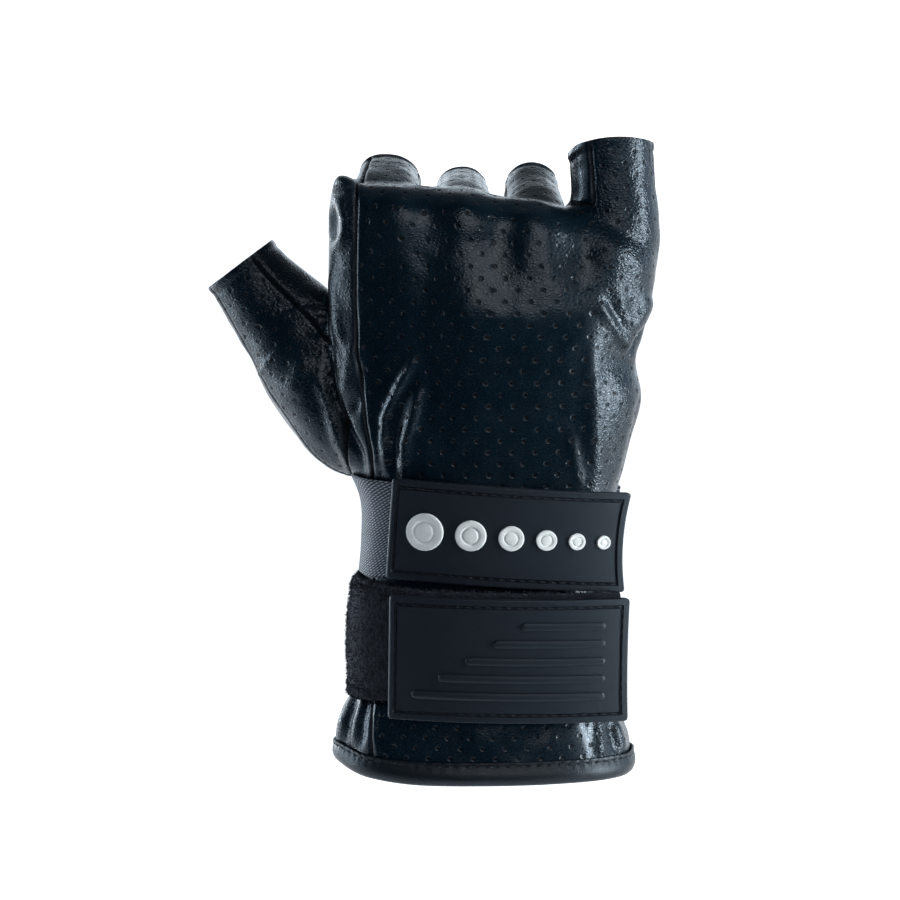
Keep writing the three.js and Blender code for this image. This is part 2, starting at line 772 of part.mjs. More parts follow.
// A bent bar on a patch, from s0 to s1 along it, h0 to h1 up it and d0 to d1 out from its back.
// cut takes its corners off.
function bentBar(strap, [s0, s1], [h0, h1], [d0, d1], cut = 0) {
  const steps = Math.ceil((patchSteps * (s1 - s0)) / patchLength);
  const places = Array.from(
    { length: steps + 1 },
    (_, i) => s0 + cut + ((s1 - s0 - 2 * cut) * i) / steps,
  ).map((s) => ({ s, inset: 0 }));
  if (cut > 0) {
    places.unshift({ s: s0, inset: cut });
    places.push({ s: s1, inset: cut });
  }
  const rings = places.map(({ s, inset }) => [
    onPatch(strap, s, h0 + inset, d0),
    onPatch(strap, s, h1 - inset, d0),
    onPatch(strap, s, h1 - inset, d1),
    onPatch(strap, s, h0 + inset, d1),
  ]);
  return loft(rings);
}
function patchSolid(strap) {
  const [half, high] = [patchLength / 2, strap.patchWidth / 2];
  const plate = bentBar(strap, [-half, half], [-high, high], [0, patchThickness], 1);
  const frame = (inset) =>
    bentBar(
      strap,
      [-half + inset, half - inset],
      [-high + inset, high - inset],
      [patchThickness - grooveDepth, patchThickness + 1],
    );
  return plate.subtract(frame(patchRim).subtract(frame(patchRim + grooveWidth)));
}
const raised = [patchThickness - 0.3, patchThickness + reliefHeight];

// The upper patch's dots get smaller towards the little finger; size is a share of the first.
const dotSizes = [1, 0.82, 0.67, 0.55, 0.45, 0.37];
const dotGap = 3.4;
function dots(strap) {
  const total = dotSizes.reduce((sum, size) => sum + size * dotWidth + dotGap, -dotGap);
  let s = -total / 2;
  const count = 12;
  return dotSizes.map((size) => {
    const radius = (size * dotWidth) / 2;
    const middle = s + radius;
    s += 2 * radius + dotGap;
    const circle = (r, out) =>
      Array.from({ length: count }, (_, i) => {
        const angle = (i / count) * Math.PI * 2;
        return onPatch(strap, middle + r * Math.cos(angle), r * Math.sin(angle), out);
      });
    return loft([circle(radius, raised[0]), circle(radius * 0.94, raised[1])]);
  });
}

// The lower patch's ribs end in one line and get shorter from the bottom up.
const ribLengths = [1, 0.86, 0.72, 0.58, 0.44];
const ribPitch = 5.2;
function ribs(strap) {
  const longest = patchLength - 2 * (patchRim + grooveWidth) - 9;
  return ribLengths.map((share, i) => {
    const h = (i - (ribLengths.length - 1) / 2) * ribPitch;
    return bentBar(
      strap,
      [longest * (0.5 - share), longest / 2],
      [h - ribWidth / 2, h + ribWidth / 2],
      raised,
      ribWidth / 4,
    );
  });
}
const joined = (first, others) => others.reduce((all, solid) => all.add(solid), first);

// The rolled binding round the cuff's edge, in U shape. out is from the leather's outside.
function bindingSolid() {
  const inside = -leather - clearance;
  const profile = [
    { out: clearance + bindingWall, up: bindingHeight },
    { out: clearance + bindingWall, up: 0 },
    { out: -leather / 2, up: -clearance - bindingWall },
    { out: inside - bindingWall, up: 0 },
    { out: inside - bindingWall, up: bindingHeight },
    { out: inside, up: bindingHeight },
    { out: inside, up: -clearance },
    { out: clearance, up: -clearance },
    { out: clearance, up: bindingHeight },
  ];
  const sections = Array.from({ length: pointsRound }, (_, place) =>
    profile.map((row) => {
      const point = onLeather(Math.max(row.up, 0), place, row.out);
      return point.setZ(point.z + Math.min(row.up, 0));
    }),
  );
  return closedLoft(sections);
}

const group = new THREE.Group();
const black = 0x16181c;
function addPiece(name, solid, colour, roughness) {
  const material = new THREE.MeshStandardMaterial({ color: colour, roughness, metalness: 0 });
  const mesh = new THREE.Mesh(geometryOf(solid), material);
  mesh.name = name;
  group.add(mesh);
}
for (const [name, solid] of Object.entries(panels)) {
  addPiece(name, largest(solid), black, 0.4);
}
addPiece("cuff_binding", bindingSolid(), 0x1b1d21, 0.38);
addPiece("upper_strap", strapSolid(straps.upper), 0x2a2c31, 0.85);
addPiece("lower_strap", strapSolid(straps.lower), 0x24262c, 0.95);
addPiece("upper_patch", joined(patchSolid(straps.upper), dots(straps.upper)), 0x202329, 0.5);
addPiece("lower_patch", joined(patchSolid(straps.lower), ribs(straps.lower)), 0x202329, 0.5);
export default group;
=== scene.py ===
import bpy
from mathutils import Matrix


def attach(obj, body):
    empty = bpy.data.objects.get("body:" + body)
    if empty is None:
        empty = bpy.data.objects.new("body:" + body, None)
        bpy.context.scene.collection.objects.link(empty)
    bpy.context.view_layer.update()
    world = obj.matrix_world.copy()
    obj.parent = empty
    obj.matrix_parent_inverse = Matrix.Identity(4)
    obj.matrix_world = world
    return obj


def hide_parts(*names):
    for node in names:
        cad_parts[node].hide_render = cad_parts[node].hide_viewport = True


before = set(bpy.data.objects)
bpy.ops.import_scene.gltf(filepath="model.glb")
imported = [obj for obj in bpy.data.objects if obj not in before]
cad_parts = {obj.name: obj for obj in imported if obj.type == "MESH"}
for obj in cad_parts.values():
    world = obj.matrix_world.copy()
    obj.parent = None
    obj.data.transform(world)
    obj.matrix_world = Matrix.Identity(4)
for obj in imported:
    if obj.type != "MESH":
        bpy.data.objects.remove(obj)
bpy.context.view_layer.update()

import math
from collections import namedtuple

import bpy
import numpy as np
from mathutils import Vector, noise
from mathutils.kdtree import KDTree

# Camera: square on to the glove's back and a little above it, as in the photograph, with a long
# lens so that the straps at the wrist stay nearly parallel.
scene = bpy.context.scene
MM = 0.001
camera_height = math.radians(6)
camera_distance = 950.0
aim = np.array([-9.9, 0.0, 100.5])
seen_width = 270.0
to_camera = np.array([0.0, -math.cos(camera_height), math.sin(camera_height)])
eye = aim + camera_distance * to_camera


def new_object(name, data):
    made = bpy.data.objects.new(name, data)
    scene.collection.objects.link(made)
    return made


camera = new_object("camera", bpy.data.cameras.new("camera"))
camera.data.lens = camera.data.sensor_width * camera_distance / seen_width
camera.location = eye * MM
camera.rotation_euler = Vector(-to_camera).to_track_quat("-Z", "Y").to_euler()
scene.camera = camera

# Leather skin: the whole glove as one soft shape, with its thumb and its little finger stretched
# out and the other fingers bent forwards. It is cut into its sewn goatskin panels in the next
# section. Millimetres, with the same sizes as the solids.
cuff_width, cuff_depth = 87.0, 57.0
wrist_width, wrist_depth = 73.0, 47.0
palm_width, palm_depth = 97.0, 42.0
cuff_length, hand_length = 92.0, 86.0
leather = 1.5
past_mouth = 6.0  # the skin is made longer at each open end and then trimmed
skin_grid = 0.96


def up_hand(share):
    """The height at a share of the hand's length above the cuff."""
    return cuff_length + share * hand_length


def smooth_line(places, values):
    """A smooth curve through a table's values, held level past its ends."""
    x, y = np.array(places, float), np.array(values, float)
    before, after = np.arange(len(x)) - 1, np.arange(len(x)) + 1
    before[0], after[-1] = 0, len(x) - 1
    slope = (y[after] - y[before]) / (x[after] - x[before])

    def at(place):
        place = np.asarray(place, float)
        i = np.clip(np.searchsorted(x, place, side="right") - 1, 0, len(x) - 2)
        span = x[i + 1] - x[i]
        t = np.clip((place - x[i]) / span, 0, 1)
        return (
            (2 * t**3 - 3 * t**2 + 1) * y[i]
            + (t**3 - 2 * t**2 + t) * span * slope[i]
            + (3 * t**2 - 2 * t**3) * y[i + 1]
            + (t**3 - t**2) * span * slope[i + 1]
        )

    return at


def lines_through(rows):
    """A smooth line through each column of a table, along its first one."""
    rows = np.array(rows, float)
    return [smooth_line(rows[:, 0], column) for column in rows.T[1:]]


def eased(value, low, high):
    t = np.clip((np.asarray(value, float) - low) / (high - low), 0, 1)
    return t * t * (3 - 2 * t)


def bell(*away):
    """One in the middle, fading with each distance, which is a share of the half width."""
    return np.exp(-sum(share**2 for share in away))


# Zone, then rise as a share of its length, then the reach to thumb, little finger, back and
# palm as shares of half its width or depth, and how square the section is.
hand_zones = {
    "cuff": (0.0, cuff_length, cuff_width, cuff_depth),
    "wrist": (0.0, cuff_length, wrist_width, wrist_depth),
    "palm": (cuff_length, hand_length, palm_width, palm_depth),
}
hand_sections = [
    ("cuff", 0.0, 1.0, 1.02, 0.965, 1.02, 2.5),
    ("cuff", 0.1, 1.02, 1.03, 0.945, 1.02, 2.5),
    ("cuff", 0.22, 1.0, 0.95, 0.912, 0.96, 2.5),
    ("cuff", 0.285, 0.925, 0.895, 0.88, 0.93, 2.5),
    ("wrist", 0.33, 1.02, 1.04, 1.0, 1.06, 2.5),
    ("wrist", 0.5, 1.0, 1.03, 0.98, 1.05, 2.5),
    ("wrist", 0.66, 0.98, 1.03, 0.95, 1.03, 2.5),
    ("wrist", 0.8, 0.95, 1.04, 0.91, 1.02, 2.5),
    ("wrist", 0.94, 0.96, 1.09, 0.9, 1.03, 2.5),
    ("palm", 0.08, 0.83, 0.885, 0.98, 1.22, 2.6),
    ("palm", 0.18, 0.88, 0.94, 0.96, 1.26, 2.7),
    ("palm", 0.3, 0.92, 0.975, 0.95, 1.24, 2.7),
    ("palm", 0.42, 0.945, 0.935, 0.94, 1.14, 2.7),
    ("palm", 0.5, 0.95, 0.985, 0.95, 1.04, 2.8),
    ("palm", 0.62, 0.95, 1.035, 0.96, 0.9, 2.8),
    ("palm", 0.75, 0.95, 1.065, 0.97, 0.76, 2.8),
    ("palm", 0.86, 0.95, 1.05, 0.9, 0.66, 2.8),
    ("palm", 0.92, 0.92, 1.01, 0.77, 0.58, 2.7),
    ("palm", 0.965, 0.84, 0.9, 0.52, 0.42, 2.6),
]
section_rows = []
for zone, rise, thumb, little, back, palm, square in hand_sections:
    base, length, width, depth = hand_zones[zone]
    reach = (-thumb * width / 2, little * width / 2, back * depth / 2, palm * depth / 2)
    section_rows.append((base + rise * length, *reach, square))
hand_left, hand_right, hand_back, hand_palm, hand_square = lines_through(section_rows)

# Knuckles, the valleys between them and soft folds on the back of the glove: place across as a
# share of half the palm, rise as a share of the hand, then lift, width and height in leather
# thicknesses.
back_relief = [
    (-0.55, 0.93, 1.6, 6.5, 6),
    (-0.11, 0.93, 1.7, 6, 7),
    (0.35, 0.87, 1.5, 6, 7),
    (0.82, 0.79, 1.4, 6, 6),
    (-0.33, 0.86, -0.7, 3.5, 8),
    (0.12, 0.83, -0.9, 3.5, 8),
    (0.58, 0.78, -1.0, 3.5, 8),
    (0.9, 0.43, -1.2, 4, 2.6),
    (0.78, 0.3, 0.8, 5, 6),
    (-0.58, 0.34, -0.5, 3, 9),
    (-0.44, 0.2, 0.4, 2.5, 9),
]
# Gathers that the lower strap presses into the flared cuff: degrees round it, spread, lift.
cuff_gathers = [
    (158, 9, 0.4), (176, 8, -0.5), (193, 8, 0.4), (209, 8, -0.5),
    (224, 9, 0.3), (322, 9, -0.4), (338, 8, 0.35), (354, 9, -0.35),
]
lower_strap_low = 27.3
gather_middle, gather_reach = lower_strap_low * 0.62, lower_strap_low * 0.42
# The back's two slopes meet on the knuckle line, each with its fall and its length, and fade out
# towards the sides and over the top.
knuckle_line, line_soft, start_soft = 142.5, 0.8, 4
before_slope, before_length = 0.08, 52
past_slope, past_length = 0.26, 31


def softly(value, softness):
    """The value above nought and nought below it, with a soft turn between."""
    return np.logaddexp(0, value / softness) * softness


def relief(x, z):
    """How far the back's humps, folds and slopes lift it."""
    humps = sum(
        height * leather * bell(
            (x - across * palm_width / 2) / (wide * leather), (z - up_hand(rise)) / (high * leather)
        )
        for across, rise, height, wide, high in back_relief
    )
    past, before = softly(z - knuckle_line, line_soft), softly(knuckle_line - z, line_soft)
    slope = before_slope * softly(before_length - before, start_soft)
    slope -= past_slope * np.minimum(past, past_length - past / 2)
    return humps + slope * eased(x, -20, -4) * (1 - eased(x, 29, 43)) * (1 - eased(z, 172, 186))


def gathers(turn, z):
    fade = bell((z - gather_middle) / gather_reach)
    return sum(
        height * leather * fade * bell((turn - middle) / spread)
        for middle, spread, height in cuff_gathers
    )


def bulge(value, square):
    return np.sign(value) * np.abs(value) ** (2 / square)


# The knuckle ridge slopes and curves down to the little finger, with a rise at each knuckle:
# place and half width as shares of half the palm, then lift in leather thicknesses.
ridge_slope, ridge_curve = 0.1, 0.05
ridge_begins, ridge_full = up_hand(0.72), up_hand(0.97)
knuckle_rises = [(-0.6, 0.2, 1.1), (-0.13, 0.17, 1.4), (0.33, 0.15, 1.5), (0.76, 0.17, 1.2)]
# The cuff's wavy edge: degrees round it, then its rise as a share of the cuff's length.
edge_fades = 0.26 * cuff_length
edge_rise = smooth_line(
    [0, 60, 90, 150, 190, 222, 250, 300, 330, 360],
    [0.05, 0.01, 0, 0.04, 0.085, 0.062, 0.05, 0.054, 0.052, 0.05],
)


def ridge(x):
    """How far the knuckle ridge rises or falls along the hand's width."""
    across = x / (palm_width / 2)
    fall = -(ridge_slope * x + ridge_curve * hand_length * np.maximum(across, 0) ** 2)
    rises = (lift * leather * bell((across - middle) / wide) for middle, wide, lift in knuckle_rises)
    return sum(rises, start=fall)


def top_share(z):
    return eased(z, ridge_begins, ridge_full)


def low_share(z):
    return np.maximum(0, 1 - z / edge_fades)


def on_hand(z, angle, out=0.0):
    """Points of the skin at heights and angles; a quarter turn on from the little finger's side
    is the palm. The top follows the knuckle ridge and the foot the cuff's wavy edge."""
    z, angle = np.broadcast_arrays(np.asarray(z, float), np.asarray(angle, float))
    c, s, turn = np.cos(angle), np.sin(angle), np.degrees(angle) % 360
    left, right, square = hand_left(z), hand_right(z), hand_square(z)
    depth = np.where(s > 0, hand_palm(z), hand_back(z))
    out = out + gathers(turn, z)
    x = (left + right) / 2 + ((right - left) / 2 + out) * bulge(c, square)
    y = (depth + out) * bulge(s, square) - eased(-s, 0, 0.5) * relief(x, z)
    z = z + (top_share(z) * ridge(x) + low_share(z) * edge_rise(turn) * cuff_length)
    return np.stack([x, y, z], -1)


def unit(vector):
    return vector / np.linalg.norm(vector, axis=-1, keepdims=True)


def turned(vector, about, degrees):
    angle = np.radians(degrees)
    along = about * np.dot(about, vector)
    return vector * np.cos(angle) + np.cross(about, vector) * np.sin(angle) + along * (1 - np.cos(angle))


# Share of a digit's length, half sizes as shares of its half width, then how far a bent digit's
# root sinks and turns back.
bent_sections = [
    (-0.16, 0.9, 0.9, 0.34, 42),
    (0.09, 0.96, 0.98, 0.05, 14),
    (0.35, 0.95, 1.0, 0, 0),
    (0.7, 0.87, 0.95, 0, 0),
    (1.0, 0.8, 0.88, 0, 0),
]
straight_sections = [
    (-0.42, 0.56, 0.6, 0, 0),
    (0.09, 0.98, 0.98, 0, 0),
    (0.35, 1.0, 1.0, 0, 0),
    (0.7, 0.96, 0.95, 0, 0),
    (1.0, 1.0, 0.95, 0, 0),
]


def once_round(count):
    return np.linspace(0, 2 * np.pi, count, endpoint=False)


# Each digit's knuckle across, deep and up as shares of the hand, the way it points, the way its
# back faces, its length and its width.
up, towards_back = np.array([0.0, 0.0, 1.0]), np.array([0.0, -1.0, 0.0])
digit_rows = {
    "index": ((-0.6, -0.05, 0.885), (0.02, 1, 0.27), up, 40.0, 23.5, bent_sections),
    "middle": ((-0.13, -0.05, 0.9), (0, 1, 0.15), up, 42.0, 20.5, bent_sections),
    "ring": ((0.32, -0.05, 0.85), (-0.01, 1, 0.33), up, 40.0, 20.5, bent_sections),
    "little": ((0.828, 0.02, 0.77), (-0.07, 0.05, 1), towards_back, 34.0, 26.2, straight_sections),
}
Digit = namedtuple("Digit", "knuckle way back length width sections")
digits = {}
for name, ((across, deep, rise), way, *others) in digit_rows.items():
    knuckle = np.array([across * palm_width / 2, deep * palm_depth / 2, up_hand(rise)])
    digits[name] = Digit(knuckle, unit(way), *others)
tube_square, index_square = 2.2, 3.4
ring_step = 2.0
tube_points, hand_points = 64, 160
around_tube = once_round(tube_points)[:, None]


def sides_of(way, back):
    """The ways across a tube and up from its middle."""
    side = unit(np.cross(way, back))
    return side, unit(np.cross(side, way))


def tube_ring(middle, way, back, wide, deep, square=tube_square):
    side, top = sides_of(way, back)
    across = wide * bulge(np.cos(around_tube), square) * side
    return middle + across + deep * bulge(np.sin(around_tube), square) * top


def digit_rings(digit, square):
    wide, deep, sink, tilt = lines_through(digit.sections)
    side, _ = sides_of(digit.way, digit.back)
    first = digit.sections[0][0]
    return np.array([
        tube_ring(
            digit.knuckle + digit.way * share * digit.length - digit.back * sink(share) * digit.width,
            turned(digit.way, side, tilt(share)),
            digit.back,
            wide(share) * digit.width / 2,
            deep(share) * digit.width / 2,
            square,
        )
        for share in np.arange(first, 1 + past_mouth / digit.length, ring_step / digit.length)
    ])


# The index finger's stall is squarer on the thumb's side, where its strip is folded over.
squares = dict.fromkeys(digits, tube_square)
squares["index"] = np.where(np.cos(around_tube) < 0, index_square, tube_square)

# The thumb: how far out as a share of its reach, rise as a share of the hand, then how far
# behind and the half sizes as shares of its width.
thumb_width, thumb_reach = 21.5, 40.0
thumb_root = -wrist_width / 2 * 0.94
thumb_sections = np.array([
    (-0.14, 0.125, 0.3, 0.6, 0.62),
    (0.07, 0.175, 0.36, 0.75, 0.78),
    (0.23, 0.26, 0.44, 0.78, 0.82),
    (0.38, 0.38, 0.52, 0.83, 0.82),
    (0.53, 0.488, 0.58, 0.78, 0.76),
    (0.7, 0.58, 0.62, 0.69, 0.67),
    (0.85, 0.665, 0.63, 0.6, 0.6),
    (0.975, 0.742, 0.63, 0.56, 0.56),
])
outward, rise, behind, wide, deep = thumb_sections.T
*thumb_line, thumb_wide, thumb_deep = lines_through(np.column_stack([
    np.arange(len(thumb_sections)), thumb_root - outward * thumb_reach, behind * thumb_width,
    up_hand(rise), wide * thumb_width, deep * thumb_width,
]))
thumb_steps, mouth_step = 45, 1.25
thumb_places = np.linspace(0, len(thumb_sections) - 1, thumb_steps)
thumb_middles = np.stack([line(thumb_places) for line in thumb_line], -1)
thumb_ways = unit(np.gradient(thumb_middles, axis=0))
thumb_mouth, mouth_way = thumb_middles[-1], thumb_ways[-1]
further = np.arange(1.0, past_mouth + 0.1, mouth_step)[:, None]
thumb_places = np.append(thumb_places, np.full(len(further), thumb_places[-1]))
thumb_middles = np.vstack([thumb_middles, thumb_mouth + mouth_way * further])
thumb_ways = np.vstack([thumb_ways, np.tile(mouth_way, (len(further), 1))])
thumb_rings = np.array([
    tube_ring(middle, way, towards_back, thumb_wide(place), thumb_deep(place))
    for place, middle, way in zip(thumb_places, thumb_middles, thumb_ways)
])

# The hand's rings draw in over the top and close it with a low crown along the knuckle ridge.
below_cuff, hand_top = -8, up_hand(0.965)
crown, ridge_kept = 0.018 * hand_length, 0.8
around = once_round(hand_points)
hand_heights = np.append(np.arange(below_cuff, hand_top, ring_step), hand_top)
hand_rings = [on_hand(z, around) for z in hand_heights]
top_ring = hand_rings[-1]
for inward in (0.12, 0.26, 0.42, 0.6, 0.8):
    ring = top_ring + (top_ring.mean(0) - top_ring) * inward
    ring[:, 2] = top_ring[:, 2] + ridge_kept * (ridge(ring[:, 0]) - ridge(top_ring[:, 0]))
    ring[:, 2] += crown * (1 - (1 - inward) ** 3)
    hand_rings.append(ring)


def mesh_from(name, points, faces):
    mesh = bpy.data.meshes.new(name)
    mesh.from_pydata((np.asarray(points) * MM).tolist(), [], [list(map(int, f)) for f in faces])
    mesh.update()
    return mesh


def four_cornered(index):
    """Faces between the rows and columns of a grid of point numbers."""
    corners = (index[:-1, :-1], index[:-1, 1:], index[1:, 1:], index[1:, :-1])
    return np.stack(corners, -1).reshape(-1, 4)


def closed_tubes(ring_sets):
    """Points and faces of tubes, each given by its rings of points in order."""
    points, faces, first = [], [], 0
    for rings in ring_sets:
        points.append(np.reshape(rings, (-1, 3)))
        index = first + np.arange(len(points[-1])).reshape(len(rings), -1)
        faces += four_cornered(np.pad(index, ((0, 0), (0, 1)), mode="wrap")).tolist()
        faces += [index[0, ::-1].tolist(), index[-1].tolist()]
        first += index.size
    return np.vstack(points), faces


def changed(name, mesh, kind, **settings):
    """A mesh as one modifier with these settings leaves it."""
    worked = new_object(name, mesh)
    modifier = worked.modifiers.new(kind, kind)
    for setting, value in settings.items():
        setattr(modifier, setting, value)
    finished = worked.evaluated_get(bpy.context.evaluated_depsgraph_get())
    result = bpy.data.meshes.new_from_object(finished)
    bpy.data.objects.remove(worked)
    return result


def values_of(items, kind, width, number=float):
    """What a mesh's points, edges or faces hold, in rows."""
    values = np.empty(len(items) * width, number)
    items.foreach_get(kind, values)
    return values.reshape(-1, width)


tubes = [hand_rings, thumb_rings] + [digit_rings(digits[name], squares[name]) for name in digits]
form = mesh_from("hand_form", *closed_tubes(tubes))
joined = changed("hand_form", form, "REMESH", mode="VOXEL", voxel_size=skin_grid * MM)
joined.calc_loop_triangles()
skin = values_of(joined.vertices, "co", 3) / MM
faces = values_of(joined.loop_triangles, "vertices", 3, np.int32)
edges = values_of(joined.edges, "vertices", 2, np.int32)


def settled(points, links, rounds):
    """Lets each point drift half way to the middle of its neighbours, over and over."""
    one, other = links.T
    degree = np.bincount(links.ravel(), minlength=len(points))[:, None]
    for _ in range(rounds):
        total = np.stack([
            np.bincount(one, values[other], len(points)) + np.bincount(other, values[one], len(points))
            for values in points.T
        ], -1)
        points = points + 0.5 * (total / np.maximum(degree, 1) - points)
    return points


smoothing = 24
skin = settled(skin, edges, smoothing)
# Beside the index finger's knuckle the side leather stands up in a soft shoulder.
shoulder_x, shoulder_z, shoulder_reach = -41, 178, 5
shoulder_out, shoulder_up = 2.0, 4.0
shoulder = bell((skin[:, 0] - shoulder_x) / shoulder_reach, (skin[:, 2] - shoulder_z) / shoulder_reach)
shoulder *= eased(-skin[:, 0], 34, 39) * (1 - eased(skin[:, 1], 4, 14))
skin[:, 2] += shoulder_up * shoulder
skin[:, 0] -= shoulder_out * shoulder

# Cutting and sewing: the goatskin is trimmed at its open ends and parted into seven panels along
# the seams, where it is drawn in. Hems are turned in at the openings, and folds and creases are
# pressed into it as wear leaves them.
Tube = namedtuple("Tube", "along across height out wide deep")


def in_tube(along, across, height, wide, deep):
    """Where points lie in a tube: millimetres along, across and up from its middle, how far out
    as a share of its half sizes, and those half sizes."""
    out = np.abs(across / wide) ** tube_square + np.abs(height / deep) ** tube_square
    return Tube(along, across, height, out ** (1 / tube_square), wide, deep)


def in_digit(digit, points):
    wide, deep, sink, _ = lines_through(digit.sections)
    side, top = sides_of(digit.way, digit.back)
    offset = points - digit.knuckle
    along = offset @ digit.way
    share = along / digit.length
    height = offset @ top + sink(share) * digit.width
    wide, deep = wide(share) * digit.width / 2, deep(share) * digit.width / 2
    return in_tube(along, offset @ side, height, wide, deep)


def in_thumb(points):
    """The same for the thumb, by the nearest place on its middle line, and along from its mouth."""
    nearest = np.concatenate([
        np.argmin(((part[:, None] - thumb_middles) ** 2).sum(-1), 1)
        for part in np.array_split(points, len(points) // 20000 + 1)
    ])
    side, top = sides_of(thumb_ways[nearest], towards_back)
    offset, place = points - thumb_middles[nearest], thumb_places[nearest]
    along = (points - thumb_mouth) @ mouth_way
    across, height = (offset * side).sum(1), (offset * top).sum(1)
    return in_tube(along, across, height, thumb_wide(place), thumb_deep(place))


def turn_round(points, z):
    """How far round the hand points are, from the little finger's side over the palm."""
    left, right, square = hand_left(z), hand_right(z), 4 / hand_square(z)
    across = (points[:, 0] - (left + right) / 2) / ((right - left) / 2)
    deep = points[:, 1] / np.where(points[:, 1] > 0, hand_palm(z), hand_back(z))
    return np.arctan2(bulge(deep, square), bulge(across, square))


def within(*sides):
    """How far inside all of these sides points lie."""
    return np.minimum.reduce(sides)


# Cut lines, each as how far a point lies inside it. The skin is cut where a value passes nought.
far_outside = np.full(len(skin), -50.0)
stalls = {name: in_digit(digit, skin) for name, digit in digits.items()}
thumb = in_thumb(skin)
spread = np.stack([tube.out for tube in [*stalls.values(), thumb]], -1)
round_mouth = 1.6  # a mouth's cut reaches this far out, as a share of the stall's half sizes
dome_low, dome_rise, corner_cut = 1.4, 2.2, 2.0  # the little finger's mouth is domed
past_end = np.maximum(far_outside, within(thumb.along, (round_mouth - thumb.out) * thumb.wide))
for k, (name, tube) in enumerate(stalls.items()):
    others = np.delete(spread, k, axis=1).min(1)
    beyond = tube.along - digits[name].length
    if name == "little":
        share = tube.across / tube.wide
        beyond = beyond - dome_low + dome_rise * share**2 + corner_cut * eased(-share, 0.75, 1.1)
    mouth = within(beyond, (round_mouth - tube.out) * tube.wide, (others - tube.out) * tube.wide + 0.4)
    past_end = np.maximum(past_end, mouth)
past_cuff = edge_rise(np.degrees(turn_round(skin, 0)) % 360) * cuff_length - skin[:, 2]

# The back panel's edges: heights, how far it reaches to the thumb's side and how far round the
# little finger's side. Tabs run out of it over the three bent fingers.
seam_heights = [-0.3 * cuff_length, 0.9 * cuff_length]
seam_heights += [up_hand(rise) for rise in (0.1, 0.2, 0.4, 0.65, 0.85, 1.3)]
thumb_edge = np.array([-0.69, -0.67, -0.685, -0.715, -0.755, -0.78, -0.775, -0.76])
little_edge = np.array([0.14, 0.14, 0.14, 0.14, 0.14, 0.08, -0.04, -0.06])
seam_x = smooth_line(seam_heights, thumb_edge * palm_width / 2)
seam_y = smooth_line(seam_heights, little_edge * palm_depth)
x, y, z = skin.T
tabs = far_outside
tab_side, index_tab_side, tab_low, tab_root = 0.9, 0.62, 0.32, 7
for name, thumb_side in (("index", index_tab_side), ("middle", tab_side), ("ring", tab_side)):
    tube = stalls[name]
    tabs = np.maximum(tabs, within(
        tube.across + thumb_side * tube.wide, tab_side * tube.wide - tube.across,
        tube.height - tab_low * tube.deep, tube.along + tab_root,
    ))
little = stalls["little"]  # its strip also runs up the stall's inner side, in shares of its half sizes
little_strip = within(
    little.across + 1.15 * little.wide, -0.5 * little.wide - little.across,
    little.height + 0.5 * little.deep, 1.4 * little.deep - little.height,
    z - up_hand(0.955),
)
on_back = np.maximum(within(x - seam_x(z), seam_y(z) - y, -little_strip), tabs)

strip_names = ["index_middle_strip", "middle_ring_strip", "ring_little_strip"]
strip_side, strip_drop, strip_deep = 0.2, 0.28, 0.08 * palm_depth
strip_fields = []
for first, second in zip(list(digits.values()), list(digits.values())[1:]):
    strip_fields.append(within(
        x - (first.knuckle[0] + strip_side * first.width),
        second.knuckle[0] - strip_side * second.width - x,
        y + strip_deep,
        z - (min(first.knuckle[2], second.knuckle[2]) - strip_drop * first.width),
    ))
strip_fields[-1] = np.maximum(strip_fields[-1], little_strip)

# The thumb's seam to the hand leans out with height. The thumb's back is cut within shares of its
# half sizes: its outer and inner side and its lower edge.
thumb_seam_out, thumb_seam_lean, round_thumb = 0.12 * thumb_reach, 0.13, 1.3
back_outer, back_inner, back_low = 0.9, 0.42, 0.12
thumb_seam = thumb_root - thumb_seam_out - thumb_seam_lean * (z - cuff_length)
on_thumb = within(thumb_seam - x, (round_thumb - thumb.out) * thumb.wide)
thumb_back_field = within(
    thumb.across + back_outer * thumb.wide, back_inner * thumb.wide - thumb.across,
    thumb.height + back_low * thumb.deep,
)

PAST_END, PAST_CUFF, BACK, THUMB, THUMB_BACK, STRIP = 3, 4, 5, 6, 7, 8
skin = np.column_stack([skin, past_end, past_cuff, on_back, on_thumb, thumb_back_field, *strip_fields])


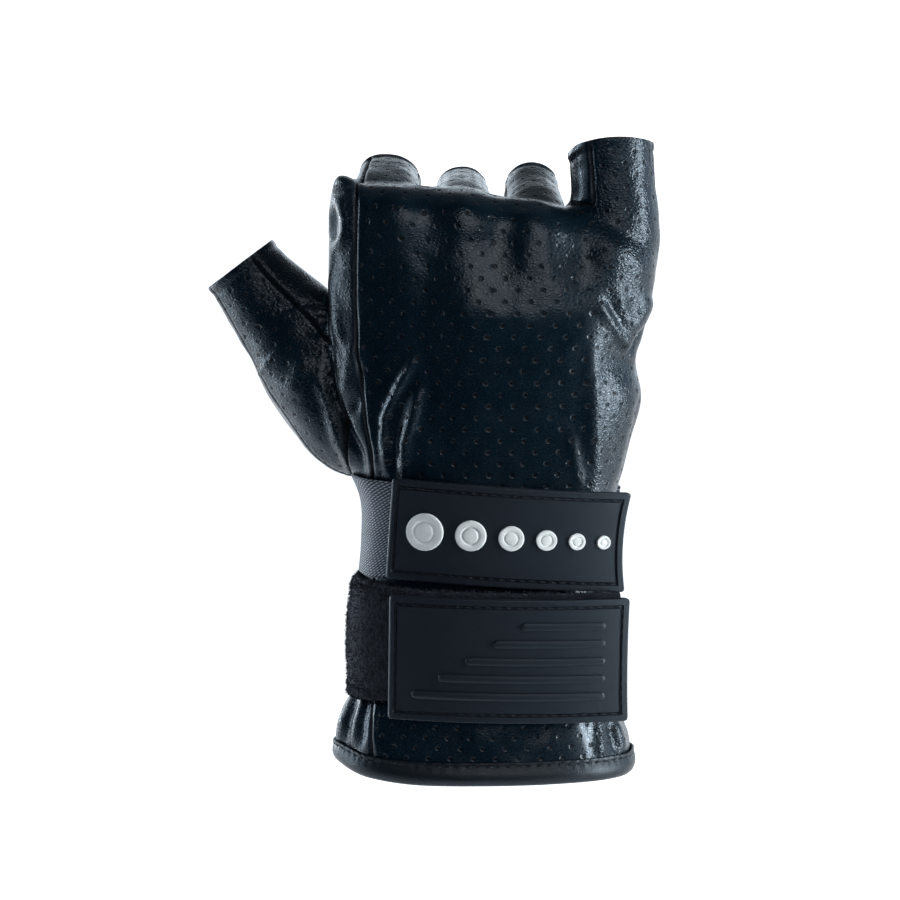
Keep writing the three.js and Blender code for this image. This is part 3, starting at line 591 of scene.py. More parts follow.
def cut_along(points, faces, column, level=0.0, near=0.1):
    """Adds points where a column passes a level, so that no face lies on both sides of it."""
    gap = points[:, column] - level
    side = np.where(np.abs(gap) < near, 0, np.sign(gap)).astype(int)
    corner = side[faces]
    crossing = np.stack([corner[:, k] * corner[:, (k + 1) % 3] < 0 for k in range(3)], -1)
    count = crossing.sum(1)
    if not count.any():
        return points, faces
    ends = np.concatenate([faces[crossing[:, k]][:, [k, (k + 1) % 3]] for k in range(3)])
    ends = np.unique(np.sort(ends, 1), axis=0)
    share = gap[ends[:, 0]] / (gap[ends[:, 0]] - gap[ends[:, 1]])
    fresh = points[ends[:, 0]] + (points[ends[:, 1]] - points[ends[:, 0]]) * share[:, None]
    fresh[:, column] = level
    key = ends[:, 0].astype(np.int64) * len(points) + ends[:, 1]

    def between(p, q):
        wanted = np.minimum(p, q).astype(np.int64) * len(points) + np.maximum(p, q)
        return len(points) + np.searchsorted(key, wanted)

    pieces = [faces[count == 0]]
    for k in range(3):
        once = (count == 1) & crossing[:, k]
        p, q, r = faces[once][:, [k, (k + 1) % 3, (k + 2) % 3]].T
        m = between(p, q)
        pieces += [np.stack([p, m, r], -1), np.stack([m, q, r], -1)]
        twice = (count == 2) & crossing[:, k] & crossing[:, (k + 2) % 3]
        p, q, r = faces[twice][:, [k, (k + 1) % 3, (k + 2) % 3]].T
        m, n = between(p, q), between(p, r)
        pieces += [np.stack(corners, -1) for corners in ((p, m, n), (m, q, r), (m, r, n))]
    return np.vstack([points, fresh]), np.vstack(pieces)


def kept(points, faces, wanted):
    used, again = np.unique(faces[wanted], return_inverse=True)
    return points[used], again.reshape(-1, 3)


for column in (PAST_END, PAST_CUFF):
    skin, faces = cut_along(skin, faces, column)
    skin, faces = kept(skin, faces, skin[faces, column].mean(1) < 0)
seam_rows = (0.0, -0.5, 0.5, -1.1, 1.1)  # rows of points on each seam and beside it
for column in range(BACK, STRIP + 3):
    for level in seam_rows:
        skin, faces = cut_along(skin, faces, column, level)

value = skin[faces].mean(1)
panel_of = np.full(len(faces), "palm_panel", "U18")
for k, name in enumerate(strip_names):
    panel_of[value[:, STRIP + k] > 0] = name
panel_of[value[:, BACK] > 0] = "back_panel"
on = value[:, THUMB] > 0
panel_of[on] = np.where(value[on, THUMB_BACK] > 0, "thumb_back", "thumb_front")


def sides(faces):
    return np.concatenate([faces[:, [0, 1]], faces[:, [1, 2]], faces[:, [2, 0]]])


def edges_of(faces):
    """Each edge once, with the one or two faces beside it."""
    ends = np.sort(sides(faces), 1)
    owner = np.tile(np.arange(len(faces)), 3)
    order = np.lexsort((ends[:, 1], ends[:, 0]))
    ends, owner = ends[order], owner[order]
    first = np.append(True, (ends[1:] != ends[:-1]).any(1))
    start = np.flatnonzero(first)
    last = np.append(start[1:], len(ends)) - 1
    return ends[start], owner[start], owner[last]


def point_normals(points, faces):
    a, b, c = (points[faces[:, k], :3] for k in range(3))
    each = np.cross(b - a, c - a)
    total = np.stack([
        sum(np.bincount(faces[:, k], each[:, axis], len(points)) for k in range(3))
        for axis in range(3)
    ], -1)
    return total / np.maximum(np.linalg.norm(total, axis=1), 1e-9)[:, None]


def away_from(places):
    """How far each point of the skin is from the nearest of these places."""
    tree = KDTree(len(places))
    for k, at in enumerate(places):
        tree.insert(at, k)
    tree.balance()
    return np.array([tree.find(point)[2] for point in skin[:, :3]])


ends, one, other = edges_of(faces)
seam = ends[panel_of[one] != panel_of[other]]
rim = ends[one == other]
for links in (seam, rim):
    in_line = np.bincount(links.ravel(), minlength=len(skin)) == 2
    skin[in_line, :3] = settled(skin[:, :3], links, 3)[in_line]
skin_normals = wall_normals = point_normals(skin, faces)
from_seam = away_from([
    skin[p, :3] + (skin[q, :3] - skin[p, :3]) * quarter / 4 for p, q in seam for quarter in range(4)
])
from_rim = away_from([(skin[p, :3] + skin[q, :3]) / 2 for p, q in rim])

# The panel on top of each seam stands a little proud of the one beneath, with a narrow groove.
seam_depth, seam_wide = 0.85, 0.5
top_proud, under_proud, proud_middle, proud_wide = 0.2, 0.06, 1.2, 1.3
on_top = (skin[:, BACK] > 0.01) | ((skin[:, THUMB] > 0.01) & (skin[:, THUMB_BACK] > 0.01))
proud = np.where(on_top, top_proud, under_proud) * bell((from_seam - proud_middle) / proud_wide)
sunk = (proud - seam_depth * bell(from_seam / seam_wide)) * eased(from_rim, 0.2, 1.8)
# A narrow hem is turned in at each finger's opening, with a sunk line below it: height, distance
# from the edge and half width. The cuff's edge, further down, has its binding instead.
hems_above = 60
for height, middle, wide in ((0.28, 1.1, 1.0), (-0.2, 3.0, 0.7)):
    sunk += height * bell((from_rim - middle) / wide) * (skin[:, 2] > hems_above)
skin[:, :3] += skin_normals * sunk[:, None]

# Folds and creases in the leather at the wrist, the thumb and the knuckles, as seen from the
# camera: height, half width, then places across and up at the glove's middle.
folds = [
    (1.25, 1.25, [(-19.7, 129.5), (-26.2, 118.0), (-29.5, 109.9), (-29.8, 103.2), (-28.6, 92)]),
    (1.2, 1.7, [(-18.2, 120), (-21.0, 110.5), (-23.5, 102.3), (-23.9, 91)]),
    (-0.7, 1.3, [(-20.6, 122), (-24.3, 113.5), (-26.6, 104), (-26.2, 92)]),
    (1.2, 1.7, [(33.5, 145.5), (38.7, 138.9), (42.6, 132.0), (45.6, 126.9)]),
    (0.8, 2.2, [(40.2, 150.0), (41.4, 144.0), (42.8, 136.5), (44.6, 130.8)]),
    (-0.7, 1.6, [(36.8, 146.5), (40.3, 138.8), (42.4, 133.5)]),
    (-1.7, 0.9, [(42.6, 129.0), (46.8, 134.5), (52.5, 140.9)]),
    (-0.6, 0.7, [(47.2, 118.0), (45.6, 108.0), (43.0, 98.0), (40.2, 88.0)]),
    (1.6, 2.4, [(44.0, 136.0), (47.5, 141.5), (50.5, 147.0)]),
    (-0.35, 3.0, [(29.4, 172.0), (31.5, 162.0), (34.5, 150.0)]),
    (0.35, 1.4, [(26.1, 106.5), (27.6, 99.0), (29.4, 88.5)]),
    (0.8, 2.4, [(32.6, 134), (33.1, 118), (33.8, 104), (34.4, 89)]),
    (-1.4, 1.1, [(-46.9, 135.5), (-45.9, 125), (-44.1, 115.6), (-40.2, 106.2), (-37, 99.8), (-35.1, 91)]),
    (1.5, 1.8, [(-50.6, 125.1), (-46.5, 114.6), (-43.2, 103.2), (-37.5, 92.8)]),
    (-0.7, 0.9, [(-61.3, 142.8), (-54.9, 144.2), (-45.1, 144.8)]),
    (0.9, 3.2, [(-53.0, 128.5), (-55.5, 122.5), (-57.5, 116.0)]),
    (0.9, 1.6, [(-46.5, 156), (-45.2, 148), (-44.2, 139), (-42.0, 131)]),
    (-0.8, 1.3, [(-47.3, 137), (-46.9, 142), (-47.5, 148)]),
    (-2.2, 1.6, [(-46.2, 174.0), (-45.4, 168.8), (-46.0, 162.5)]),
    (1.4, 1.5, [(-44.7, 176.5), (-42.3, 173.7), (-41.1, 169.5), (-41.4, 165.0), (-43.8, 159.9)]),
    (-0.8, 1.0, [(-46.0, 179.3), (-41.5, 180.2), (-38.2, 180.0)]),
    (-0.6, 0.7, [(50.7, 193.5), (51.6, 185.0), (53.2, 172.0)]),
    (1.4, 3.2, [(-39.0, 134), (-40.0, 124), (-42.0, 115)]),
    (-0.9, 2.0, [(-36.0, 128), (-37.5, 118), (-39.0, 110)]),
    (0.7, 1.1, [(-38.5, 28), (-42.4, 19), (-44.2, 10)]),
    (-0.6, 1.0, [(-37.0, 27.5), (-40.4, 18), (-42.0, 9)]),
    (0.7, 1.0, [(-35.4, 27.5), (-38.4, 18), (-39.6, 9)]),
    (-0.6, 1.0, [(-33.8, 27), (-36.0, 18), (-36.8, 10)]),
    (0.6, 1.1, [(-31.4, 26), (-32.8, 18), (-33.2, 10)]),
    (0.9, 1.4, [(35.1, 20), (35.6, 12), (36, 6)]),
    (-0.9, 1.3, [(38.0, 19), (39.6, 12), (40.5, 8)]),
    (0.8, 1.4, [(40.6, 18.5), (42.2, 12), (43.2, 8.5)]),
]
# Small gathers in short rows: height, half width, middle of the first, step to the next one,
# half length and count.
rows_of_gathers = [
    (0.55, 0.8, (-47.6, 145.0), (-0.15, -2.5), (1.6, 0.15), 5),
    (0.35, 0.7, (-62.5, 129.5), (-1.6, -2.2), (1.8, 1.0), 4),
    (0.4, 0.8, (28.4, 170.2), (1.5, -1.1), (0.5, 1.8), 3),
]
for height, wide, first, step, half, count in rows_of_gathers:
    for k in range(count):
        middle = np.array(first) + k * np.array(step)
        folds.append((height, wide, [middle - half, middle + half]))
# The palm's own creases, where the glove closes, as places across and up.
palm_folds = [
    (-0.9, 1.6, [(-30, 152), (-17, 141), (-9, 126), (-9, 110), (-15, 97)]),
    (0.5, 2.6, [(-35, 146), (-22, 135), (-15, 122), (-14, 110)]),
    (-0.8, 1.5, [(43, 139), (28, 141), (10, 147), (-6, 154)]),
    (0.45, 2.4, [(42, 144), (27, 146), (10, 152)]),
    (-0.7, 1.5, [(40, 126), (24, 131), (6, 139), (-14, 147)]),
]


def seen(points):
    """Where points show on the plane through the glove's middle, from the camera."""
    share = -eye[1] / (points[:, 1] - eye[1])
    return (eye + (points - eye) * share[:, None])[:, [0, 2]]


def fold_lift(flat, facing, folds):
    """How far folds lift the leather, each fading out at both of its ends."""
    total = np.zeros(len(flat))
    for height, wide, line in folds:
        line = np.array(line, float)
        steps = np.linalg.norm(np.diff(line, axis=0), axis=1)
        near, place, start = np.full(len(flat), np.inf), np.zeros(len(flat)), 0.0
        for p, q, step in zip(line[:-1], line[1:], steps):
            t = np.clip(((flat - p) @ (q - p)) / step**2, 0, 1)
            away = np.linalg.norm(flat - p - t[:, None] * (q - p), axis=1)
            place = np.where(away < near, (start + t * step) / steps.sum(), place)
            near = np.minimum(away, near)
            start += step
        ends = eased(place, -0.08, 0.25) * eased(1 - place, -0.08, 0.25)
        total += height * facing * ends * bell(near / wide)
    return total


lift = fold_lift(seen(skin[:, :3]), eased(skin_normals @ to_camera, 0.05, 0.3), folds)
lift += fold_lift(skin[:, [0, 2]], eased(skin_normals[:, 1], 0.2, 0.5), palm_folds)
skin[:, :3] += skin_normals * lift[:, None]
# How loosely the leather lies, which sets how strong its grain stands: tight over the back, and
# looser past the knuckles, at both sides and on the folds.
tight, past_knuckles, at_little_side, at_thumb_side, on_strips = 0.18, 0.34, 0.82, 0.5, 0.2
slack = tight + past_knuckles * eased(skin[:, 2], 141, 146) + at_little_side * eased(skin[:, 0], 30, 36)
slack = np.clip(slack + 0.5 * np.abs(lift) + at_thumb_side * eased(-skin[:, 0], 36, 40), 0, 1)
slack[(skin[:, STRIP:] > 0).any(1)] = on_strips
# The grooves at the seams and the deep fold beside the index knuckle are dulled, and darkened with painted
# shade.
hollow_x, hollow_z, hollow_wide, hollow_high, hollow_shade = -45.4, 169.0, 1.4, 4.0, 0.7
flat_x, flat_z = seen(skin[:, :3]).T
hollow = bell((flat_x - hollow_x) / hollow_wide, (flat_z - hollow_z) / hollow_high)
groove = np.maximum(bell(from_seam / seam_wide), hollow_shade * hollow * (skin[:, 1] < 14))
# The leather is nowhere quite even: broad waves with smaller ones in them.
wave_height, broad_wave, small_wave = 0.35, 0.09, 0.21
uneven = np.array([
    noise.noise(Vector(p) * broad_wave) + 0.5 * noise.noise(Vector(p) * small_wave) for p in skin[:, :3]
])
skin[:, :3] += skin_normals * (wave_height * uneven)[:, None]
skin_normals = point_normals(skin, faces)

# Leather panels: thin glossy goatskin with a napped inside, cut to shape and sewn edge to edge.
# The panels over the back of the hand and the back of the thumb are punched with staggered rows
# of small holes; the palm, the thumb's front and the strips between the fingers are plain.
leather_wall = 1.2
hole_step, row_step = 6.6, 3.4
hole_width = 1.1
punch_width = 1.3  # the hole that a punch's rings are drawn for, from its flare to its end
punch_rings = [(0.9, 0.88), (0.05, 0.7), (-0.18, 0.58), (-2.6, 0.54)]
least_gap = 3.0
straps_low, straps_high = 24, 91  # no holes are punched under the straps
sheet_unit = 100.0  # millimetres to one unit of a sheet's layout
top_sheet, top_begins = (3.3, 400), up_hand(0.945)  # where the layout over the top starts
stall_sheets = (600, 800, 1000, 1200, 1800)  # where each stall's layout starts on the sheet
round_stall, stall_begins, little_begins = 1.3, 4, 7
# The holes keep this far off seams and edges, and begin over a short way from there.
seam_clear, rim_clear, clear_over, well_clear = 1.2, 1.5, 0.8, 0.9
panel_fold = 38  # degrees at which the leather's edges look sharp


def run_along(line):
    """How far along a line of points each one lies."""
    return np.append(0, np.cumsum(np.linalg.norm(np.diff(line, axis=0), axis=1)))


def mark(mesh, name, values):
    """Notes a value at each point of a mesh, for its material to read."""
    mesh.attributes.new(name, "FLOAT", "POINT").data.foreach_set("value", values)


def lay_out(mesh, places, at_points=False):
    """Notes where each corner of a mesh lies on its flat sheet, from places at corners or points."""
    if at_points:
        places = places.reshape(-1, 2)[values_of(mesh.loops, "vertex_index", 1, np.int32)[:, 0]]
    mesh.uv_layers.new(name="sheet").data.foreach_set("uv", (places / sheet_unit).ravel())


def add_piece(name, mesh, materials, replaced=None, sharp=40):
    """A finished piece of the glove, riding on its one body."""
    mesh.polygons.foreach_set("use_smooth", np.ones(len(mesh.polygons), bool))
    mesh.set_sharp_from_angle(angle=math.radians(sharp))
    while len(mesh.materials) < len(materials):
        mesh.materials.append(None)
    for k, material in enumerate(materials):
        mesh.materials[k] = material
    piece = new_object(name, mesh)
    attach(piece, "root")
    if replaced:
        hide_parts(replaced)


# How far round the back each place lies, ring by ring and degree by degree.
arc_heights = np.arange(below_cuff, 178, ring_step)
mean_rise = 0.03  # how far the cuff's edge rises in the mean, as a share of its length
arc_angles = np.radians(np.linspace(-180, 180, 361)) - np.pi / 2
arcs = np.array([run_along(on_hand(z, arc_angles)[:, :2]) for z in arc_heights])
arcs -= arcs[:, 180:181]


def on_sheets(points):
    """Places on the flat leather in millimetres, laid out from the middle of the back, of each
    finger's back and of the thumb's back, and which of these layouts each point uses."""
    x, y, z = points.T
    flat_z = z
    for _ in range(4):
        flat_z = z - top_share(flat_z) * ridge(x) - low_share(flat_z) * mean_rise * cuff_length
    flat_z = np.clip(flat_z, arc_heights[0] + 1, arc_heights[-1] - 2)
    angle = (np.degrees(turn_round(points, flat_z) + np.pi / 2) + 180) % 360
    row = (flat_z - arc_heights[0]) / ring_step
    i, j = np.floor(row).astype(int), np.clip(np.floor(angle).astype(int), 0, 359)
    u, v = row - i, angle - j
    low = arcs[i, j] * (1 - u) * (1 - v) + arcs[i, j + 1] * (1 - u) * v
    layouts = [(low + arcs[i + 1, j] * u * (1 - v) + arcs[i + 1, j + 1] * u * v, flat_z)]
    layouts.append((x + top_sheet[0], y + top_sheet[1]))
    layout_used = np.where(flat_z > top_begins, 1, 0)
    reaches = [in_digit(digit, points) for digit in digits.values()] + [in_thumb(points)]
    for tube, start in zip(reaches, stall_sheets):
        unrolled = np.arctan2(tube.across / tube.wide, tube.height / tube.deep) * tube.wide
        layouts.append((unrolled, tube.along + start))
    for k, name in enumerate(digits):
        begins = little_begins if name == "little" else stall_begins
        layout_used[(reaches[k].out < round_stall) & (reaches[k].along > begins)] = 2 + k
    return np.moveaxis(np.array(layouts), 1, 2), layout_used


sheets, sheet_used = on_sheets(skin[:, :3])
under_straps = (skin[:, 2] > straps_low) & (skin[:, 2] < straps_high)
clear = np.minimum(from_seam - seam_clear, from_rim - rim_clear)
punched = eased(clear, 0, clear_over) * ~under_straps


def spanned(p, q):
    return p[:, 0] * q[:, 1] - q[:, 0] * p[:, 1]


def hole_places(own_faces, corners):
    """The middle and the way out of each hole that a panel gets."""
    grid = np.array([hole_step, 2 * row_step])
    centre = corners.mean(1)
    first, second = ((np.round(centre / grid - shift) + shift) * grid for shift in (0.0, 0.5))
    nearer = np.linalg.norm(second - centre, axis=1) < np.linalg.norm(first - centre, axis=1)
    p = np.where(nearer[:, None], second, first)
    a, b, c = corners.transpose(1, 0, 2)
    area = spanned(b - a, c - a)
    area = np.where(np.abs(area) < 1e-6, 1e-6, area)
    second_share, third_share = spanned(p - a, c - a) / area, spanned(b - a, p - a) / area
    weights = np.stack([1 - second_share - third_share, second_share, third_share], -1)
    inside = (weights > -1e-3).all(1) & (np.abs(corners - centre[:, None]).max((1, 2)) < 2.5)
    inside &= (punched[own_faces] * weights).sum(1) > well_clear
    weights, chosen = weights[inside][..., None], own_faces[inside]
    middles, ways = (skin[chosen, :3] * weights).sum(1), (skin_normals[chosen] * weights).sum(1)
    keep = []
    for k, middle in enumerate(middles):
        if all(((middle - middles[n]) ** 2).sum() > least_gap**2 for n in keep):
            keep.append(k)
    return zip(middles[keep], unit(ways[keep]))


def punches(holes):
    """The shapes that punch the holes: a narrow shaft that flares where the leather dips."""
    angle = once_round(8)
    shafts = []
    for middle, way in holes:
        side = unit(np.cross(way, (0.3, 0.2, 0.9)))
        circle = np.outer(np.cos(angle), side) + np.outer(np.sin(angle), np.cross(way, side))
        shafts.append([
            middle + way * rise + circle * wide * hole_width / punch_width for rise, wide in punch_rings
        ])
    return closed_tubes(shafts)


def panel_mesh(name, own, again, corners):
    """One panel as a closed sheet of leather: outside, napped inside and cut edges."""
    count, flesh = len(own), slice(len(again), 2 * len(again))
    directed = sides(again).astype(np.int64)
    key, back_key = directed @ (count, 1), directed @ (1, count)
    p, q = directed[~np.isin(key, back_key)].T
    walls = np.vstack([np.stack([q, p, p + count], -1), np.stack([q, p + count, q + count], -1)])
    points = np.vstack([skin[own, :3], skin[own, :3] - wall_normals[own] * leather_wall])
    all_faces = np.vstack([again, again[:, ::-1] + count, walls])
    mesh = mesh_from(name, points, all_faces)
    flat = np.zeros((len(all_faces), 3, 2))
    flat[:len(again)], flat[flesh] = corners, corners[:, ::-1]
    lay_out(mesh, flat)
    # The groove value carries the painted shade of the seam grooves and the hollow beside the index knuckle.
    for name, values in (("punched", punched), ("slack", slack), ("groove", groove)):
        mark(mesh, name, np.tile(values[own], 2))
    inner = np.zeros(len(all_faces), np.int32)
    inner[flesh] = 1
    mesh.polygons.foreach_set("material_index", inner)
    mesh.materials.append(None)
    mesh.materials.append(None)
    return mesh


def new_group(name, inputs, outputs):
    """An effect for several materials: (socket name, kind, value) in, socket names out."""
    group = bpy.data.node_groups.new(name, "ShaderNodeTree")
    for socket, kind, value in inputs:
        made = group.interface.new_socket(name=socket, in_out="INPUT", socket_type="NodeSocket" + kind)
        if value is not None:
            made.default_value = value
    for socket in outputs:
        group.interface.new_socket(name=socket, in_out="OUTPUT", socket_type="NodeSocketFloat")
    return group, group.nodes.new("NodeGroupInput").outputs, group.nodes.new("NodeGroupOutput").inputs


def place(tree, kind, values=(), **settings):
    """Adds a node, with settings and with values or links for its sockets in order."""
    node = tree.nodes.new("ShaderNode" + kind)
    for setting, value in settings.items():
        setattr(node, setting, value)
    for socket, value in values.items() if isinstance(values, dict) else enumerate(values):
        if isinstance(value, bpy.types.NodeSocket):
            tree.links.new(value, node.inputs[socket])
        elif value is not None:
            node.inputs[socket].default_value = value
    return node


def math_node(tree, operation, *values):
    return place(tree, "Math", values, operation=operation).outputs[0]


def vector_node(tree, operation, *values):
    node = place(tree, "VectorMath", values, operation=operation)
    return node.outputs["Value" if operation == "LENGTH" else "Vector"]


def scaled(tree, vector, times):
    return place(tree, "VectorMath", {0: vector, "Scale": times}, operation="SCALE").outputs[0]


def ramp_node(tree, value, low, high, to_low=0.0, to_high=1.0):
    values = (value, low, high, to_low, to_high)
    return place(tree, "MapRange", values, interpolation_type="SMOOTHSTEP").outputs[0]


def noise_node(tree, where, scale, detail=2.0, rough=0.5):
    return place(tree, "TexNoise", {
        "Vector": where, "Scale": scale, "Detail": detail, "Roughness": rough
    }).outputs[0]


def on_object(tree):
    return place(tree, "TexCoord").outputs["Object"]


def on_sheet(tree):
    """Places on a piece's flat sheet, in millimetres."""
    return scaled(tree, place(tree, "UVMap", uv_map="sheet").outputs[0], sheet_unit)


def noted(tree, name):
    """A value that was noted at the points of a mesh."""
    return place(tree, "Attribute", attribute_name=name).outputs["Fac"]


def mixed(tree, share, low, high):
    """A colour between two, each a socket or red, green and blue."""
    ends = [end if isinstance(end, bpy.types.NodeSocket) else (*end, 1) for end in (low, high)]
    return place(tree, "Mix", {0: share, 6: ends[0], 7: ends[1]}, data_type="RGBA").outputs[2]


def bumped(tree, height, depth, strength=1.0, over=None):
    """The normal of a surface in relief, with its depth in millimetres."""
    return place(tree, "Bump", {
        "Strength": strength, "Distance": depth * MM, "Height": height, "Normal": over
    }).outputs[0]


def new_material(name, roughness, level=0.5):
    material = bpy.data.materials.new(name)
    material.use_nodes = True
    shader = material.node_tree.nodes["Principled BSDF"]
    shader.inputs["Roughness"].default_value = roughness
    shader.inputs["Specular IOR Level"].default_value = level
    shader.inputs["Specular Tint"].default_value = (0.78, 0.9, 1, 1)
    return material, material.node_tree, shader


def finish(tree, shader, colour, normal, roughness=None):
    tree.links.new(colour, shader.inputs["Base Color"])
    tree.links.new(normal, shader.inputs["Normal"])
    if roughness:
        tree.links.new(roughness, shader.inputs["Roughness"])


# Pebbled goatskin: small cells with fine creases between them, longer across than up.
grain, given, out = new_group(
    "leather_grain",
    [("Place", "Vector", None), ("Cells per mm", "Float", 0.9), ("Stretch", "Float", 1.35)],
    ["Height", "Crease", "Patches"],
)
mm_place = scaled(grain, given[0], 1000)
stretch = place(grain, "CombineXYZ", (1.0, 1.0, given[2])).outputs[0]
wander = place(grain, "TexNoise", {"Vector": mm_place, "Scale": 0.45, "Detail": 2.0}).outputs["Color"]
wander = scaled(grain, vector_node(grain, "SUBTRACT", wander, (0.5, 0.5, 0.5)), 1.6)
cells_place = vector_node(grain, "ADD", vector_node(grain, "MULTIPLY", mm_place, stretch), wander)


def cell_ridges(scale, high):
    cells = place(
        grain, "TexVoronoi", {"Vector": cells_place, "Scale": scale}, feature="DISTANCE_TO_EDGE"
    )
    return ramp_node(grain, cells.outputs["Distance"], 0.0, high)


crease = cell_ridges(given[1], 0.4)
small = cell_ridges(math_node(grain, "MULTIPLY", given[1], 2.3), 0.3)
fine = noise_node(grain, mm_place, 3.5)
patches = ramp_node(grain, noise_node(grain, mm_place, 0.07), 0.35, 0.65)
height = math_node(grain, "MULTIPLY_ADD", small, 0.1, math_node(grain, "MULTIPLY", fine, 0.03))
height = math_node(grain, "MULTIPLY_ADD", crease, 0.8, height)
for socket, value in zip(out, (height, crease, patches)):
    grain.links.new(value, socket)

# Dips in the leather round the punched holes, which lie in two staggered grids on its sheet, and painted
# shade in the middle of each dip.
dips, given, out = new_group(
    "hole_dips",
    [("Sheet", "Vector", None), ("Punched", "Float", 1.0), ("Across", "Float", hole_step),
     ("Up", "Float", 2 * row_step)],
    ["Height", "Painted shade"],
)
pitch = place(dips, "CombineXYZ", (given[2], given[3], 1.0)).outputs[0]
cell_place = vector_node(dips, "DIVIDE", given[0], pitch)
away = []
for shift in (0.5, 0.0):
    moved = vector_node(dips, "FRACTION", vector_node(dips, "ADD", cell_place, (shift, shift, 0.0)))
    inside = vector_node(dips, "MULTIPLY", vector_node(dips, "SUBTRACT", moved, (0.5, 0.5, 0.0)), pitch)
    away.append(vector_node(dips, "LENGTH", vector_node(dips, "MULTIPLY", inside, (1.0, 1.0, 0.0))))
away = math_node(dips, "MINIMUM", *away)
dip = math_node(dips, "SUBTRACT", ramp_node(dips, away, 0.45, 0.95), 1.0)
# Painted shade: the middle of each dip is darkened, standing in for the dark inside of the hole.
dark = ramp_node(dips, away, 0.45, 0.75, 1.0, 0.0)
for socket, value in zip(out, (dip, dark)):
    dips.links.new(math_node(dips, "MULTIPLY", value, given[1]), socket)


def leather_material(name, dark, light, stretch, rough, cells_per_mm=0.74, depth=0.095, holes=False):
    material, tree, shader = new_material(name, 0.4, 0.55)
    height, crease, patches = place(
        tree, "Group", (on_object(tree), cells_per_mm, stretch), node_tree=grain
    ).outputs
    loose, painted_shade = noted(tree, "slack"), noted(tree, "groove")
    tone = math_node(tree, "MULTIPLY_ADD", crease, 0.55, math_node(tree, "MULTIPLY", patches, 0.45))
    # Painted shade: the colour goes near black in the seam grooves and the hollow beside the index knuckle.
    colour = mixed(tree, painted_shade, mixed(tree, tone, dark, light), (0.0006, 0.0008, 0.001))
    gloss = math_node(tree, "MULTIPLY_ADD", crease, -0.14, rough + 0.14)
    for mask, duller in ((patches, 0.04), (loose, 0.04), (painted_shade, 0.5)):
        gloss = math_node(tree, "MULTIPLY_ADD", mask, duller, gloss)
    normal = bumped(tree, math_node(tree, "MULTIPLY", height, loose), depth)
    if holes:
        dimple_and_shade = place(tree, "Group", (on_sheet(tree), noted(tree, "punched")), node_tree=dips).outputs
        normal = bumped(tree, dimple_and_shade[0], 0.1, over=normal)
        # Painted shade: the leather's colour goes near black round each punched hole.
        colour = mixed(tree, dimple_and_shade[1], colour, (0.0004, 0.0006, 0.0008))
        gloss = math_node(tree, "MULTIPLY_ADD", dimple_and_shade[1], 0.25, gloss)
    finish(tree, shader, colour, normal, gloss)
    return material


perforated = leather_material(
    "perforated_goatskin", (0.0012, 0.0046, 0.008), (0.0025, 0.0092, 0.0155), 1.6, 0.13, holes=True
)
plain = leather_material("plain_goatskin", (0.002, 0.0045, 0.008), (0.004, 0.009, 0.0155), 1.5, 0.15)

# The napped inside of the leather, in dark grey.
napped, tree, shader = new_material("napped_inside", 0.92, 0.2)
nap = noise_node(tree, on_object(tree), 1400.0, 3.0)
tone = math_node(tree, "MULTIPLY", nap, noise_node(tree, on_object(tree), 90.0))
colour = mixed(tree, ramp_node(tree, tone, 0.12, 0.42), (0.012, 0.012, 0.013), (0.045, 0.045, 0.048))
finish(tree, shader, colour, bumped(tree, nap, 0.15, 0.8))

for name in ("back_panel", "thumb_back", "palm_panel", "thumb_front", *strip_names):
    own_faces = faces[panel_of == name]
    own, again = np.unique(own_faces, return_inverse=True)
    used = np.median(sheet_used[own_faces], axis=1).astype(int)
    if name == "thumb_back":
        used[:] = len(sheets) - 1
    corners = sheets[used[:, None], own_faces]
    mesh = panel_mesh(name, own, again.reshape(-1, 3), corners)
    if name in ("back_panel", "thumb_back"):
        punch = new_object("punch", mesh_from("punch", *punches(hole_places(own_faces, corners))))
        mesh = changed(name, mesh, "BOOLEAN", operation="DIFFERENCE", solver="MANIFOLD", object=punch)
        bpy.data.objects.remove(punch)
        add_piece(name + "_leather", mesh, [perforated, napped], name, panel_fold)
    else:
        add_piece(name + "_leather", mesh, [plain, napped], name, panel_fold)

# Cuff binding: a strip of the same leather folded over the cuff's open edge and rolled to a
# full, round edge, held by one row of stitches just below its upper edge.
# The folded strip's section, out from the leather and up from the cuff's edge.
binding_profile = np.array([
    (0.12, 5.6), (0.2, 6.0), (0.45, 6.15), (0.72, 6.0), (0.85, 5.5), (0.68, 4.95), (0.95, 4.4),
    (1.45, 3.4), (1.7, 2.2), (1.6, 1.0), (1.2, 0.0), (0.45, -0.75), (-0.6, -1.05),
    (-1.6, -0.95), (-2.5, -0.4), (-2.95, 0.7), (-3.05, 2.2), (-2.95, 4.2), (-2.85, 5.6),
    (-2.5, 6.1), (-2.0, 6.1), (-1.6, 5.7), (-1.5, 3.0), (-1.4, 0.4), (-0.8, -0.2), (-0.2, -0.1),
    (0.15, 0.4), (0.17, 3.0),
])
pull, pulls_round = 0.1, 78  # how far the stitches draw the upper edge in and out, and how often
binding_seam = (0.66, 4.95)  # where its stitches lie on that section
binding_slack = 0.7


def cuff_frame(turns):
    """The cuff's open edge: points on the leather, the way out and the way up at each turn."""
    angle = np.radians(turns)
    low = on_hand(0, angle)
    return low, unit((on_hand(0, angle, 1.0) - low) * (1, 1, 0)), unit(on_hand(6, angle) - low)


